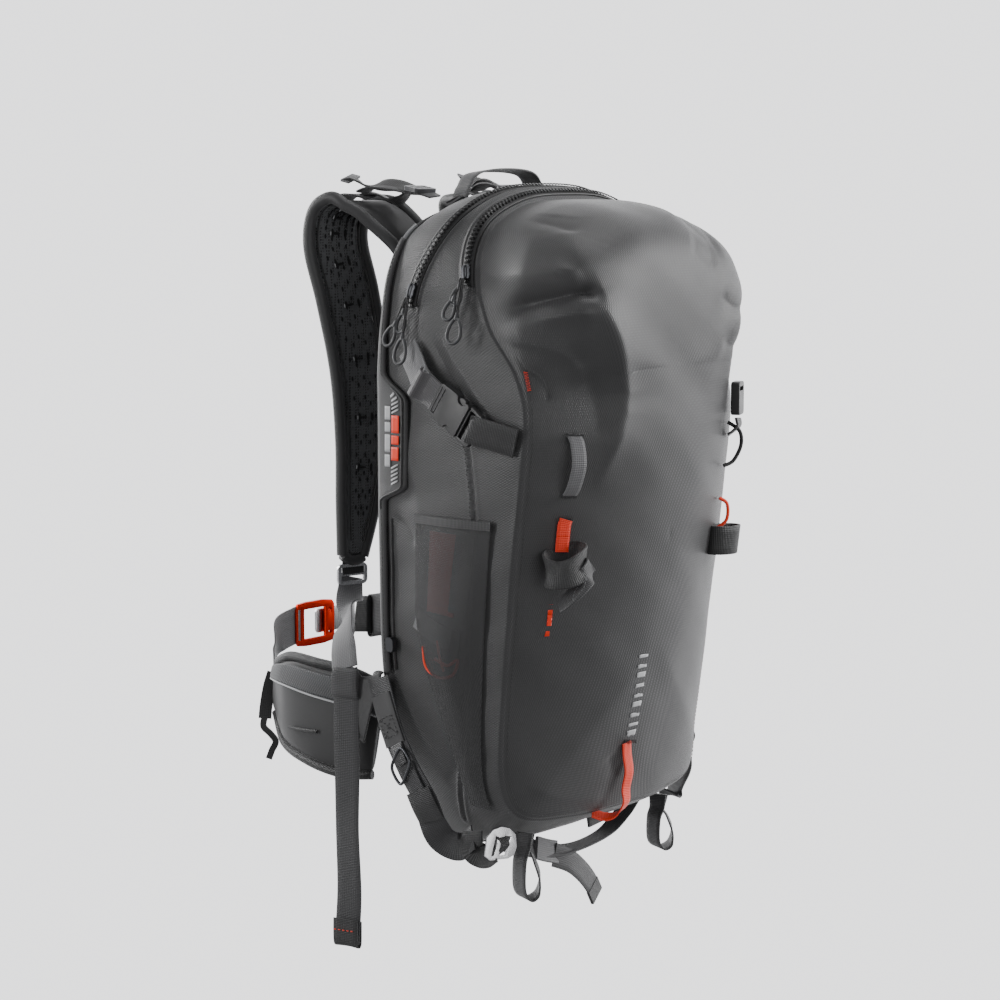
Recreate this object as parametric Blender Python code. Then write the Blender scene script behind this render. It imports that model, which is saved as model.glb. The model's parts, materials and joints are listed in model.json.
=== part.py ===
"""Avalanche airbag backpack, about 30 litres, hanging from its haul loop.

Run with: blender --background --python part.py

Design frame, in metres: +X the wearer's right, +Y towards the wearer, +Z up,
with z = 0 at the lowest part of
the base. The last step moves everything so that the origin is where a hook bears under the haul loop.
The sewn body is one skin between two closed seams. Each panel of it is a patch of that skin.
"""

import math

import bmesh
import bpy
from mathutils import Matrix, Vector

# Overall sizes of the sewn body.
PACK_WIDTH = 0.294
PACK_HEIGHT = 0.590
SEAM_DEPTH = 0.160
FRONT_BULGE_TOP = 0.055
FRONT_BULGE_BASE = 0.026

# Fabric, foam and frame.
PANEL_WALL = 0.0025
PANEL_GAP = 0.0006
TOUCH_GAP = 0.0004
BACK_PAD_THICKNESS = 0.014
SHEET_THICKNESS = 0.002
SHEET_INSET = 0.016

# Webbing widths and thickness.
WEB_THICKNESS = 0.0016
SIDE_WEB = 0.025
LOOP_WEB = 0.020
BELT_WEB = 0.038
STERNUM_WEB = 0.020

# Shoulder straps and hip belt.
SHOULDER_WIDTH = 0.070
SHOULDER_FOAM = 0.012
WING_HEIGHT = 0.098
WING_FOAM = 0.012
WAIST_DEPTH = 0.205
TAIL_LENGTH = 0.248
SHORT_TAIL_LENGTH = 0.150

# Side buckles.
BUCKLE_MARGIN = 0.009
BUCKLE_WIDTH = SIDE_WEB + BUCKLE_MARGIN
BUCKLE_LENGTH = 0.046
BUCKLE_HEIGHT = 0.0095
BUCKLE_WALL = 0.0020
BUCKLE_TRAVEL = 0.024
PRONG_LENGTH = 0.016

# Inflation system.
BLOWER_RADIUS = 0.044
BLOWER_DEPTH = 0.034
BLOWER_WALL = 0.0025
IMPELLER_CLEARANCE = 0.0020
MOTOR_RADIUS = 0.011
BLADE_COUNT = 11
POWER_PACK_SIZE = (0.118, 0.026, 0.082)
AIRBAG_SIZE = (0.200, 0.036, 0.130)
CABLE_RADIUS = 0.0024
POLE_CORD = 0.0035

# Levels that several pieces share.
TAPE_LIFT = 0.0010
AIRBAG_ZIP_SETBACK = 0.0152
SIDE_BUCKLE_LIFT = 0.0082
BUCKLE_SLEEVE = 0.030
HARNESS_HINGE = (0.0895, 0.5880)
STERNUM_LEVEL = (0.1085, 0.3700)
TRIGGER_CENTRE = (-0.0775, 0.1170, 0.4780)
BELT_HINGE = (0.0255, 0.1070)
AXE_LOOP_TOP = 0.0300
HOOK_STEP = 0.0052
BUCKLE_PLATE = 0.0040

# Zips.
ZIP_WIDTH = 0.011
ZIP_THICKNESS = 0.0012
SLIDER_SIZE = (0.0095, 0.0130, 0.0046)
PULL_LENGTH = 0.034
PULL_WIDTH = 0.011
PULL_CORD = 0.0013
PULL_GAP = 0.0020

# Hanging loops at the base and the haul loop.
AXE_LOOP_DROP = 0.053
AXE_LOOP_SPREAD = 0.016
HAUL_SPAN = 0.092
HAUL_RISE = 0.026

HALF_WIDTH = PACK_WIDTH / 2
LEFT, RIGHT = -1, 1
UP = Vector((0, 0, 1))

# Stations of the two seams, from the bottom centre up the left side to the top centre:
# share of half the width, share of the seam depth, share of the height.
FRONT_STATIONS = (
    (0.00, -0.99, 0.078), (-0.48, -0.95, 0.078), (-0.84, -0.87, 0.092), (-0.96, -0.83, 0.160),
    (-0.99, -0.89, 0.330), (-1.00, -0.96, 0.500), (-1.00, -1.03, 0.665), (-0.98, -0.96, 0.740),
    (-0.95, -0.74, 0.812), (-0.89, -0.62, 0.890), (-0.73, -0.59, 0.952), (-0.40, -0.59, 0.987),
    (0.00, -0.59, 0.994),
)
BACK_STATIONS = (
    (0.00, -0.21, 0.002), (-0.37, -0.20, 0.004), (-0.63, -0.15, 0.030), (-0.82, -0.06, 0.125),
    (-0.95, 0.00, 0.268), (-0.98, 0.01, 0.470), (-0.975, 0.02, 0.670), (-0.97, 0.025, 0.740),
    (-0.94, 0.025, 0.812), (-0.87, 0.025, 0.884), (-0.70, 0.02, 0.941), (-0.38, 0.01, 0.972),
    (0.00, 0.01, 0.978),
)
TOP_STATION = len(FRONT_STATIONS) - 1
STATION_COUNT = 2 * TOP_STATION
BASE_END, SIDE_END = 2.5, 8.6


# ---------------------------------------------------------------- curves and the skin of the pack

def catmull_rom(points, s, cyclic):
    """A point at parameter s on a smooth curve through points, one unit of s between two of them."""
    count = len(points)
    if not cyclic:
        s = min(max(s, 0.0), count - 1.0)
    i = min(math.floor(s), count - 2) if not cyclic else math.floor(s)
    f = s - i

    def at(k):
        return points[k % count] if cyclic else points[min(max(k, 0), count - 1)]

    a, b, c, d = at(i - 1), at(i), at(i + 1), at(i + 2)
    return (b * 2 + (c - a) * f + (a * 2 - b * 5 + c * 4 - d) * f * f + (b * 3 - a - c * 3 + d) * f ** 3) / 2


def smooth_path(points, count):
    """count points spread along a smooth curve through points."""
    points = [Vector(p) for p in points]
    last = len(points) - 1
    return [catmull_rom(points, last * i / (count - 1), False) for i in range(count)]


def closed_seam(stations):
    left = [Vector((x * HALF_WIDTH, y * SEAM_DEPTH, z * PACK_HEIGHT)) for x, y, z in stations]
    right = [Vector((-p.x, p.y, p.z)) for p in left[-2:0:-1]]
    return left + right


FRONT_SEAM = closed_seam(FRONT_STATIONS)
BACK_SEAM = closed_seam(BACK_STATIONS)


def smooth_step(low, high, value):
    t = min(max((value - low) / (high - low), 0.0), 1.0)
    return t * t * (3 - 2 * t)


def gusset(s, t):
    """The band round the pack: t is 0 at the front seam and 1 at the back seam."""
    front = catmull_rom(FRONT_SEAM, s, True)
    back = catmull_rom(BACK_SEAM, s, True)
    point = front.lerp(back, t)
    out = Vector((point.x, 0, point.z - PACK_HEIGHT / 2)).normalized()
    height = point.z / PACK_HEIGHT
    swell = 0.006 + 0.007 * smooth_step(0.86, 0.97, height)
    return point + out * swell * 4 * t * (1 - t)


def face(s, r):
    """The front panel: r is 0 on its middle line and 1 at the front seam."""
    seam = catmull_rom(FRONT_SEAM, s, True)
    boxy = smooth_step(0.70, 0.87, seam.z / PACK_HEIGHT)
    spine_z = min(max(seam.z, 0.34 * PACK_HEIGHT), 0.75 * PACK_HEIGHT)
    z = spine_z + (seam.z - spine_z) * r
    share = smooth_step(0.10, 0.68, z / PACK_HEIGHT)
    bulge = FRONT_BULGE_BASE + (FRONT_BULGE_TOP - FRONT_BULGE_BASE) * share
    deepest = -SEAM_DEPTH * (0.97 + 0.03 * share) - bulge
    rise = (1 - r ** (2.2 + 4.3 * boxy)) ** (0.9 - 0.42 * boxy)
    return Vector((seam.x * r, seam.y + (deepest - seam.y) * rise, z))


def back_face(s, r):
    """The wearer's side of the pack: r is 0 on the middle line and 1 at the back seam."""
    seam = catmull_rom(BACK_SEAM, s, True)
    spine_z = min(max(seam.z, 0.30 * PACK_HEIGHT), 0.75 * PACK_HEIGHT)
    return Vector((seam.x * r, seam.y * r ** 2, spine_z + (seam.z - spine_z) * r))


def normal_of(surface, a, b):
    """Outward unit normal of a skin function at (a, b)."""
    step = 0.02
    along = surface(a + step, b) - surface(a - step, b)
    low, high = max(b - step, 0.0), min(b + step, 1.0)
    across = surface(a, high) - surface(a, low)
    return along.cross(across).normalized()


def gusset_normal(s, t):
    return normal_of(gusset, s, t)


def on_gusset(s, t, lift):
    return gusset(s, t) + gusset_normal(s, t) * lift


def station_at(height, t):
    """The station on the left side whose skin point at t has this share of the pack's height."""
    low, high = 1.0, float(TOP_STATION)
    for _ in range(40):
        middle = (low + high) / 2
        if gusset(middle, t).z < height * PACK_HEIGHT:
            low = middle
        else:
            high = middle
    return low


def mirrored(point, side):
    """A point or direction given for the left side, on the side asked for."""
    return Vector((point.x * -side, point.y, point.z))


# ---------------------------------------------------------------- solids

MATERIALS = {
    "pack_cloth": ((0.055, 0.055, 0.057), 0.52, 0.0),
    "pad_mesh": ((0.040, 0.040, 0.042), 0.80, 0.0),
    "webbing": ((0.050, 0.050, 0.052), 0.62, 0.0),
    "orange_plastic": ((0.80, 0.090, 0.018), 0.45, 0.0),
    "buckle_plastic": ((0.035, 0.035, 0.037), 0.42, 0.0),
    "zip_coil": ((0.030, 0.030, 0.031), 0.50, 0.0),
    "slider_metal": ((0.12, 0.12, 0.125), 0.38, 0.8),
    "red_aluminium": ((0.62, 0.060, 0.012), 0.32, 0.9),
    "bare_aluminium": ((0.78, 0.78, 0.79), 0.30, 1.0),
    "airbag_nylon": ((0.72, 0.075, 0.020), 0.50, 0.0),
    "housing_plastic": ((0.045, 0.045, 0.047), 0.45, 0.0),
    "sheet_plastic": ((0.70, 0.70, 0.68), 0.50, 0.0),
}


def material(name):
    found = bpy.data.materials.get(name)
    if found:
        return found
    colour, roughness, metallic = MATERIALS[name]
    found = bpy.data.materials.new(name)
    found.use_nodes = True
    shader = found.node_tree.nodes["Principled BSDF"]
    shader.inputs["Base Color"].default_value = (*colour, 1.0)
    shader.inputs["Roughness"].default_value = roughness
    shader.inputs["Metallic"].default_value = metallic
    return found


def new_object(name, data, finish, pivot):
    thing = bpy.data.objects.new(name, data)
    bpy.context.scene.collection.objects.link(thing)
    data.materials.append(material(finish))
    thing.location = pivot
    return thing


def solid(name, points, faces, finish, pivot=(0, 0, 0)):
    """A closed mesh from points in the design frame, with its origin at pivot."""
    pivot = Vector(pivot)
    mesh = bpy.data.meshes.new(name)
    mesh.from_pydata([Vector(p) - pivot for p in points], [], faces)
    work = bmesh.new()
    work.from_mesh(mesh)
    bmesh.ops.remove_doubles(work, verts=work.verts, dist=1e-6)
    bmesh.ops.dissolve_degenerate(work, edges=work.edges, dist=1e-7)
    bmesh.ops.recalc_face_normals(work, faces=work.faces)
    bmesh.ops.triangulate(work, faces=work.faces)
    work.to_mesh(mesh)
    work.free()
    mesh.shade_smooth()
    mesh.set_sharp_from_angle(angle=math.radians(40))
    return new_object(name, mesh, finish, pivot)


def grid_solid(name, outer, inner, finish, ring=False, pivot=(0, 0, 0)):
    """A solid between two grids of points, rows by columns.

    ring closes the columns round, and the first row is then filled across from left to right.
    """
    rows, columns = len(outer), len(outer[0])
    points = [p for row in outer for p in row] + [p for row in inner for p in row]
    shift = rows * columns
    span = columns if ring else columns - 1
    faces = []
    for r in range(rows - 1):
        for c in range(span):
            d = (c + 1) % columns
            a, b, e, f = r * columns + c, r * columns + d, (r + 1) * columns + d, (r + 1) * columns + c
            faces.append((a, b, e, f))
            faces.append((a + shift, f + shift, e + shift, b + shift))
    runs = [[(rows - 1, c) for c in range(columns)]]
    if ring:
        for c in range(columns // 2):
            corners = list(dict.fromkeys((c, c + 1, columns - c - 1, (columns - c) % columns)))
            faces.append(corners)
            faces.append([k + shift for k in reversed(corners)])
    else:
        runs += [[(0, c) for c in range(columns)]]
        runs += [[(r, 0) for r in range(rows)], [(r, columns - 1) for r in range(rows)]]
    for run in runs:
        pairs = list(zip(run, run[1:]))
        if ring:
            pairs.append((run[-1], run[0]))
        for (r0, c0), (r1, c1) in pairs:
            a, b = r0 * columns + c0, r1 * columns + c1
            faces.append((a, b, b + shift, a + shift))
    return solid(name, points, faces, finish, pivot)


RECTANGLE = ((-0.5, -0.5), (0.5, -0.5), (0.5, 0.5), (-0.5, 0.5))
PADDED = tuple(
    (0.5 * math.copysign(abs(math.cos(a)) ** 0.55, math.cos(a)),
     0.5 * math.copysign(abs(math.sin(a)) ** 0.8, math.sin(a)))
    for a in (math.tau * (k + 0.5) / 10 for k in range(10))
)


def sweep(name, centres, across, width, thickness, finish, profile=RECTANGLE, pivot=(0, 0, 0), first=None,
          last=None):
    """A strap or pad along centres. across gives its width direction, width and thickness a number or a list.

    first and last square the two ends to a direction other than the path's own.
    """
    count = len(centres)
    across = across if isinstance(across, list) else [across] * count
    width = width if isinstance(width, list) else [width] * count
    thickness = thickness if isinstance(thickness, list) else [thickness] * count
    points = []
    for i, centre in enumerate(centres):
        ahead = centres[min(i + 1, count - 1)] - centres[max(i - 1, 0)]
        if i == 0 and first:
            ahead = first
        if i == count - 1 and last:
            ahead = last
        side = across[i] - ahead * (across[i].dot(ahead) / ahead.length_squared)
        side.normalize()
        up = ahead.cross(side).normalized()
        points += [centre + side * (u * width[i]) + up * (v * thickness[i]) for u, v in profile]
    n = len(profile)
    faces = [tuple(range(n - 1, -1, -1)), tuple(range((count - 1) * n, count * n))]
    for i in range(count - 1):
        for k in range(n):
            j = (k + 1) % n
            faces.append((i * n + k, i * n + j, (i + 1) * n + j, (i + 1) * n + k))
    return solid(name, points, faces, finish, pivot)


def rod(name, path, radius, finish, cyclic=False, pivot=(0, 0, 0), sides=2):
    """A round cord or tube along path."""
    pivot = Vector(pivot)
    curve = bpy.data.curves.new(name, "CURVE")
    curve.dimensions = "3D"
    curve.bevel_depth = radius
    curve.bevel_resolution = sides
    curve.use_fill_caps = not cyclic
    spline = curve.splines.new("POLY")
    spline.points.add(len(path) - 1)
    for point, place in zip(spline.points, path):
        point.co = (*(place - pivot), 1)
    spline.use_cyclic_u = cyclic
    return new_object(name, curve, finish, pivot)


def prism(name, outline, depth, place, finish, pivot=(0, 0, 0)):
    """An outline in the local XY plane, given thickness along local Z about the middle, placed by a matrix."""
    n = len(outline)
    points = [place @ Vector((x, y, z)) for z in (-depth / 2, depth / 2) for x, y in outline]
    faces = [tuple(range(n - 1, -1, -1)), tuple(range(n, 2 * n))]
    faces += [(k, (k + 1) % n, n + (k + 1) % n, n + k) for k in range(n)]
    return solid(name, points, faces, finish, pivot)


def window_plate(name, outer, window, depth, place, finish, offset=0.0, pivot=(0, 0, 0)):
    """A rectangular plate or sleeve with one rectangular opening through it along local Z."""
    def corners(size, z, shift):
        return [place @ Vector((u * size[0], v * size[1] + shift, z)) for u, v in RECTANGLE]

    low, high = -depth / 2, depth / 2
    points = corners(outer, low, 0) + corners(outer, high, 0) + corners(window, low,
                                                                        offset) + corners(window, high,
                                                                                          offset)
    faces = []
    for k in range(4):
        j = (k + 1) % 4
        faces.append((k, j, 4 + j, 4 + k))
        faces.append((8 + j, 8 + k, 12 + k, 12 + j))
        faces.append((j, k, 8 + k, 8 + j))
        faces.append((4 + k, 4 + j, 12 + j, 12 + k))
    return solid(name, points, faces, finish, pivot)


def turned(name, profile, place, finish, steps=24, pivot=(0, 0, 0)):
    """A closed outline of (radius, height) turned round local Z. Points with radius 0 lie on the axis."""
    points, rings = [], []
    for radius, height in profile:
        turns = 1 if radius == 0 else steps
        rings.append([len(points) + k for k in range(turns)])
        points += [
            place @ Vector((radius * math.cos(math.tau * k / turns),
                            radius * math.sin(math.tau * k / turns), height))
            for k in range(turns)
        ]
    faces = []
    for one, two in zip(rings, rings[1:] + rings[:1]):
        for k in range(steps):
            ring = [one[k % len(one)], one[(k + 1) % len(one)], two[(k + 1) % len(two)], two[k % len(two)]]
            corners = list(dict.fromkeys(ring))
            if len(corners) > 2:
                faces.append(tuple(corners))
    return solid(name, points, faces, finish, pivot)


def rounded_box(name, size, centre, radius, finish, segments=2):
    """A box with all its edges rounded."""
    corners = [Vector((x * size[0], y * size[1], z * size[2])) for z in (-0.5, 0.5) for x, y in RECTANGLE]
    faces = [(3, 2, 1, 0), (4, 5, 6, 7), (0, 1, 5, 4), (1, 2, 6, 5), (2, 3, 7, 6), (3, 0, 4, 7)]
    box = solid(name, [c + centre for c in corners], faces, finish, centre)
    bevel = box.modifiers.new("round", "BEVEL")
    bevel.width = radius
    bevel.segments = segments
    return box


def frame_matrix(origin, x_axis, y_axis):
    """Local X and Y as given, local Z by the right-hand rule."""
    x_axis = x_axis.normalized()
    z_axis = x_axis.cross(y_axis).normalized()
    y_axis = z_axis.cross(x_axis)
    basis = Matrix((x_axis, y_axis, z_axis)).transposed().to_4x4()
    return Matrix.Translation(origin) @ basis


# ---------------------------------------------------------------- sewn body

def front_panel():
    columns = 44
    rows = (0.10, 0.32, 0.55, 0.75, 0.88, 0.955, 0.988, 1.0)
    turn = [STATION_COUNT * k / columns for k in range(columns)]
    outer = [[face(s, r) for s in turn] for r in rows]
    inner = []
    for r in rows:
        row = []
        for s in turn:
            seam = catmull_rom(FRONT_SEAM, s, True)
            inward = Vector((-seam.x * r / HALF_WIDTH, 1.2,
                             (PACK_HEIGHT / 2 - seam.z) * r * 2 / PACK_HEIGHT))
            row.append(face(s, r) + inward.normalized() * PANEL_WALL)
        inner.append(row)
    grid_solid("front_panel", outer, inner, "pack_cloth", ring=True)


def band_panel(name, start, end, columns):
    """A length of the band between the seams. Stations run past the top centre to the right side."""
    rows = (0.026, 0.25, 0.5, 0.75, 0.98)
    gap = PANEL_GAP / (2 * SEAM_DEPTH)
    stations = [start + gap + (end - start - 2 * gap) * k / (columns - 1) for k in range(columns)]
    outer = [[gusset(s, t) for s in stations] for t in rows]
    inner = [[on_gusset(s, t, -PANEL_WALL) for s in stations] for t in rows]
    grid_solid(name, outer, inner, "pack_cloth")


def back_pad():
    """Foam against the wearer: flat in the middle, rounded off to the back seam."""
    columns = 36
    rows = (0.10, 0.45, 0.80, 0.93, 0.985)
    heights = (1.0, 1.0, 1.0, 0.72, 0.12)
    turn = [STATION_COUNT * k / columns for k in range(columns)]
    low = 0.25 * SEAM_DEPTH
    outer, inner = [], []
    for r, height in zip(rows, heights):
        outer.append([])
        inner.append([])
        for s in turn:
            base = back_face(s, r)
            tuck = low * smooth_step(0.16, 0.0,
                                     base.z / PACK_HEIGHT) if base.z < 0.16 * PACK_HEIGHT else 0.0
            skin = Vector((base.x, -tuck * 0.8, base.z))
            outer[-1].append(skin + Vector((0, TOUCH_GAP * 8 + BACK_PAD_THICKNESS * height, 0)))
            inner[-1].append(skin + Vector((0, TOUCH_GAP * 8 - 0.0012, 0)))
    grid_solid("back_pad", outer, inner, "pad_mesh", ring=True)


def frame_sheet():
    """The stiff sheet behind the back pad."""
    columns = 28
    turn = [STATION_COUNT * k / columns for k in range(columns)]
    rim = []
    for s in turn:
        seam = catmull_rom(BACK_SEAM, s, True)
        middle = Vector((0, 0, PACK_HEIGHT / 2))
        inward = (middle - Vector((seam.x, 0, seam.z))).normalized()
        rim.append(Vector((seam.x, 0, max(seam.z, 0.14 * PACK_HEIGHT))) + inward * SHEET_INSET)
    sheet_y = -0.006
    place = Matrix.Translation((0, sheet_y - SHEET_THICKNESS / 2, 0)) @ Matrix.Rotation(math.pi / 2, 4, "X")
    outline = [(p.x, p.z) for p in rim]
    prism("frame_sheet", outline, SHEET_THICKNESS, place, "sheet_plastic")


def airbag_flap():
    """The burst flap along the left back edge, with the wide tongue that carries the badge."""
    low, high, count = 0.285, 0.93, 28
    widths = []
    for k in range(count):
        height = low + (high - low) * k / (count - 1)
        tongue = smooth_step(0.505, 0.555, height) - smooth_step(0.665, 0.725, height)
        widths.append((height, 0.0065 + 0.0265 * tongue))
    outer, inner = [[], [], [], []], [[], [], [], []]
    for height, width in widths:
        s = station_at(height, 0.97)
        for row in range(4):
            t = 0.99 - (width / SEAM_DEPTH) * row / 3
            outer[row].append(on_gusset(s, t, 0.0034))
            inner[row].append(on_gusset(s, t, 0.0018))
    grid_solid("left_airbag_flap", outer, inner, "pack_cloth")


def mesh_pocket():
    """The see-through stretch pocket low on the left side."""
    rows = (0.16, 0.34, 0.52, 0.70)
    heights = [0.10 + 0.425 * k / 11 for k in range(12)]
    outer, inner = [], []
    for i, t in enumerate(rows):
        outer.append([])
        inner.append([])
        for k, height in enumerate(heights):
            reach = 0.36 + 0.64 * smooth_step(0.08, 0.40, height)
            share = rows[0] + (t - rows[0]) * reach
            s = station_at(height, share)
            belly = math.sin(math.pi * i / 3) * math.sin(math.pi * k / 11)
            outer[-1].append(on_gusset(s, share, 0.0028 + 0.007 * belly))
            inner[-1].append(on_gusset(s, share, 0.0018 + 0.007 * belly))
    grid_solid("mesh_pocket", outer, inner, "pad_mesh")


def side_place(height, t, lift, side):
    """A place on a side panel: local X towards the front of the pack and local Y up the panel."""
    s = station_at(height, t)
    origin = mirrored(on_gusset(s, t, lift), side)
    out = mirrored(gusset_normal(s, t), side)
    up = (UP - out * UP.dot(out)).normalized()
    return frame_matrix(origin, up.cross(out) * -side, up)


# ---------------------------------------------------------------- inflation system

def inflation_system():
    """A folded airbag at the top, fed by an electric blower and its power pack, and the trigger's cable."""
    top_y = -0.034
    rounded_box("folded_airbag", AIRBAG_SIZE, Vector((0, top_y, 0.80 * PACK_HEIGHT)), 0.013, "airbag_nylon",
                3)
    middle = Vector((0, -0.030, 0.50 * PACK_HEIGHT))
    place = frame_matrix(middle, Vector((1, 0, 0)), Vector((0, 0, 1)))
    wall, depth, radius = BLOWER_WALL, BLOWER_DEPTH, BLOWER_RADIUS
    floor, top = wall - depth / 2, depth / 2
    cup = [(0, -depth / 2), (radius, -depth / 2), (radius, top), (radius - wall, top),
           (radius - wall, floor),
           (MOTOR_RADIUS, floor), (MOTOR_RADIUS, depth * 0.24), (0, depth * 0.24)]
    turned("blower_housing", cup, place, "housing_plastic", 28)
    inside, outside = MOTOR_RADIUS + IMPELLER_CLEARANCE, radius - wall - IMPELLER_CLEARANCE
    outline = []
    for k in range(BLADE_COUNT):
        for share, turn in ((1.0, 0.0), (1.0, 0.16), (0.62, 0.34), (0.62, 0.88)):
            angle = math.tau * (k + turn) / BLADE_COUNT
            outline.append((outside * share * math.cos(angle), outside * share * math.sin(angle)))
    wheel_depth = depth * 0.52
    wheel_place = place @ Matrix.Translation((0, 0, 0.002))
    ring_prism("impeller", outline, inside, wheel_depth, wheel_place, "housing_plastic", middle)
    pack_z = middle.z - radius - 0.006 - POWER_PACK_SIZE[2] / 2
    rounded_box("power_pack", POWER_PACK_SIZE, Vector((0, -0.030, pack_z)), 0.005, "housing_plastic")
    route = [
        (-0.62 * HALF_WIDTH, -0.0135, 0.86 * PACK_HEIGHT), (-0.79 * HALF_WIDTH, -0.018, 0.80 * PACK_HEIGHT),
        (-0.80 * HALF_WIDTH, -0.026, 0.68 * PACK_HEIGHT), (-0.66 * HALF_WIDTH, -0.032, 0.56 * PACK_HEIGHT),
        (-0.52 * HALF_WIDTH, -0.032, 0.46 * PACK_HEIGHT), (-0.50 * HALF_WIDTH, -0.030, 0.42 * PACK_HEIGHT),
        (-0.30 * HALF_WIDTH, -0.030, pack_z + POWER_PACK_SIZE[2] / 2 + 0.004),
    ]
    rod("trigger_cable", smooth_path(route, 44), CABLE_RADIUS, "buckle_plastic")


def ring_prism(name, outline, bore, depth, place, finish, pivot):
    """A prism with a round bore through it. Each outline point has a matching point on the bore."""
    n = len(outline)
    inner = [(x * bore / math.hypot(x, y), y * bore / math.hypot(x, y)) for x, y in outline]
    points = [place @ Vector((x, y, z)) for z in (-depth / 2, depth / 2) for x, y in outline + inner]
    faces = []
    for k in range(n):
        j = (k + 1) % n
        faces.append((k, j, 2 * n + j, 2 * n + k))
        faces.append((n + j, n + k, 3 * n + k, 3 * n + j))
        faces.append((j, k, n + k, n + j))
        faces.append((2 * n + k, 2 * n + j, 3 * n + j, 3 * n + k))
    return solid(name, points, faces, finish, pivot)


# ---------------------------------------------------------------- zips

def main_zip_line(s):
    """Where the main zip runs: over the top near the front and back along each side."""
    reach = abs(s - TOP_STATION)
    return 0.34 + 0.36 * smooth_step(1.6, 3.9, reach)


def pocket_zip_line(s):
    return 0.10


def zip_tape(name, line, start):
    columns = 52
    end = STATION_COUNT - start
    outer, inner = [[], []], [[], []]
    for k in range(columns):
        s = start + (end - start) * k / (columns - 1)
        depth = (catmull_rom(BACK_SEAM, s, True) - catmull_rom(FRONT_SEAM, s, True)).length
        for row, offset in enumerate((-0.5, 0.5)):
            t = line(s) + offset * ZIP_WIDTH / depth
            outer[row].append(on_gusset(s, t, TAPE_LIFT + ZIP_THICKNESS))
            inner[row].append(on_gusset(s, t, TAPE_LIFT))
    grid_solid(name, outer, inner, "zip_coil")


def zip_slider(prefix, s, t, along):
    """A slider standing on its tape at (s, t). along gives the track's direction. Returns its place."""
    out = gusset_normal(s, t)
    along = (along - out * along.dot(out)).normalized()
    lift = TAPE_LIFT + ZIP_THICKNESS + TOUCH_GAP + SLIDER_SIZE[2] / 2
    place = frame_matrix(on_gusset(s, t, lift), out.cross(along) * -1, along)
    half = [size / 2 for size in SLIDER_SIZE]
    outline = [(-half[0], -half[1] * 0.6), (-half[0] * 0.6, -half[1]), (half[0] * 0.6, -half[1]),
               (half[0], -half[1] * 0.6),
               (half[0], half[1] * 0.7), (half[0] * 0.45, half[1]), (-half[0] * 0.45, half[1]),
               (-half[0], half[1] * 0.7)]
    prism(prefix + "_slider", outline, SLIDER_SIZE[2], place, "slider_metal", place.translation)
    return place


def zip_pull(prefix, place):
    """The cord pull hanging from a slider."""
    out = place.to_3x3() @ Vector((0, 0, 1))
    half = [size / 2 for size in SLIDER_SIZE]
    down = -(UP - out * UP.dot(out)).normalized()
    hinge = place.translation + down * (half[1] + PULL_GAP) + out * half[2]
    pull_place = frame_matrix(hinge + down * PULL_LENGTH / 2, out.cross(down) * -1, down)
    window = (PULL_WIDTH - 4 * PULL_CORD, PULL_LENGTH - 4 * PULL_CORD)
    window_plate(prefix + "_pull", (PULL_WIDTH, PULL_LENGTH), window, 2 * PULL_CORD, pull_place,
                 "buckle_plastic", 0, hinge)


def zips():
    main_start = station_at(0.835, 0.70)
    zip_tape("main_zip_tape", main_zip_line, main_start)
    zip_tape("pocket_zip_tape", pocket_zip_line, station_at(0.868, 0.10))
    for prefix, line, height in (("main_zip", main_zip_line, 0.857),
                                 ("pocket_zip", pocket_zip_line, 0.886)):
        s = station_at(height, line(main_start))
        ahead = gusset(s + 0.12, line(s + 0.12)) - gusset(s - 0.12, line(s - 0.12))
        zip_pull(prefix, zip_slider(prefix, s, line(s), ahead))
    s = station_at(0.33, (1 - AIRBAG_ZIP_SETBACK / SEAM_DEPTH))
    zip_slider("airbag_zip", s, (1 - AIRBAG_ZIP_SETBACK / SEAM_DEPTH), UP)


# ---------------------------------------------------------------- side straps and their buckles

def strap_on_side(name, stops, side, width, finish="webbing"):
    """A strap over a side panel through stops of (share of height, t, lift)."""
    heights = smooth_path([Vector(stop) for stop in stops], 4 * len(stops) - 3)
    centres, across = [], []
    for height, t, lift in heights:
        s = station_at(height, t)
        centres.append(mirrored(on_gusset(s, t, lift), side))
    for i, centre in enumerate(centres):
        ahead = centres[min(i + 1, len(centres) - 1)] - centres[max(i - 1, 0)]
        s = station_at(heights[i].x, heights[i].y)
        across.append(mirrored(gusset_normal(s, heights[i].y), side).cross(ahead).normalized())
    return sweep(name, centres, across, width, WEB_THICKNESS, finish)


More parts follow.
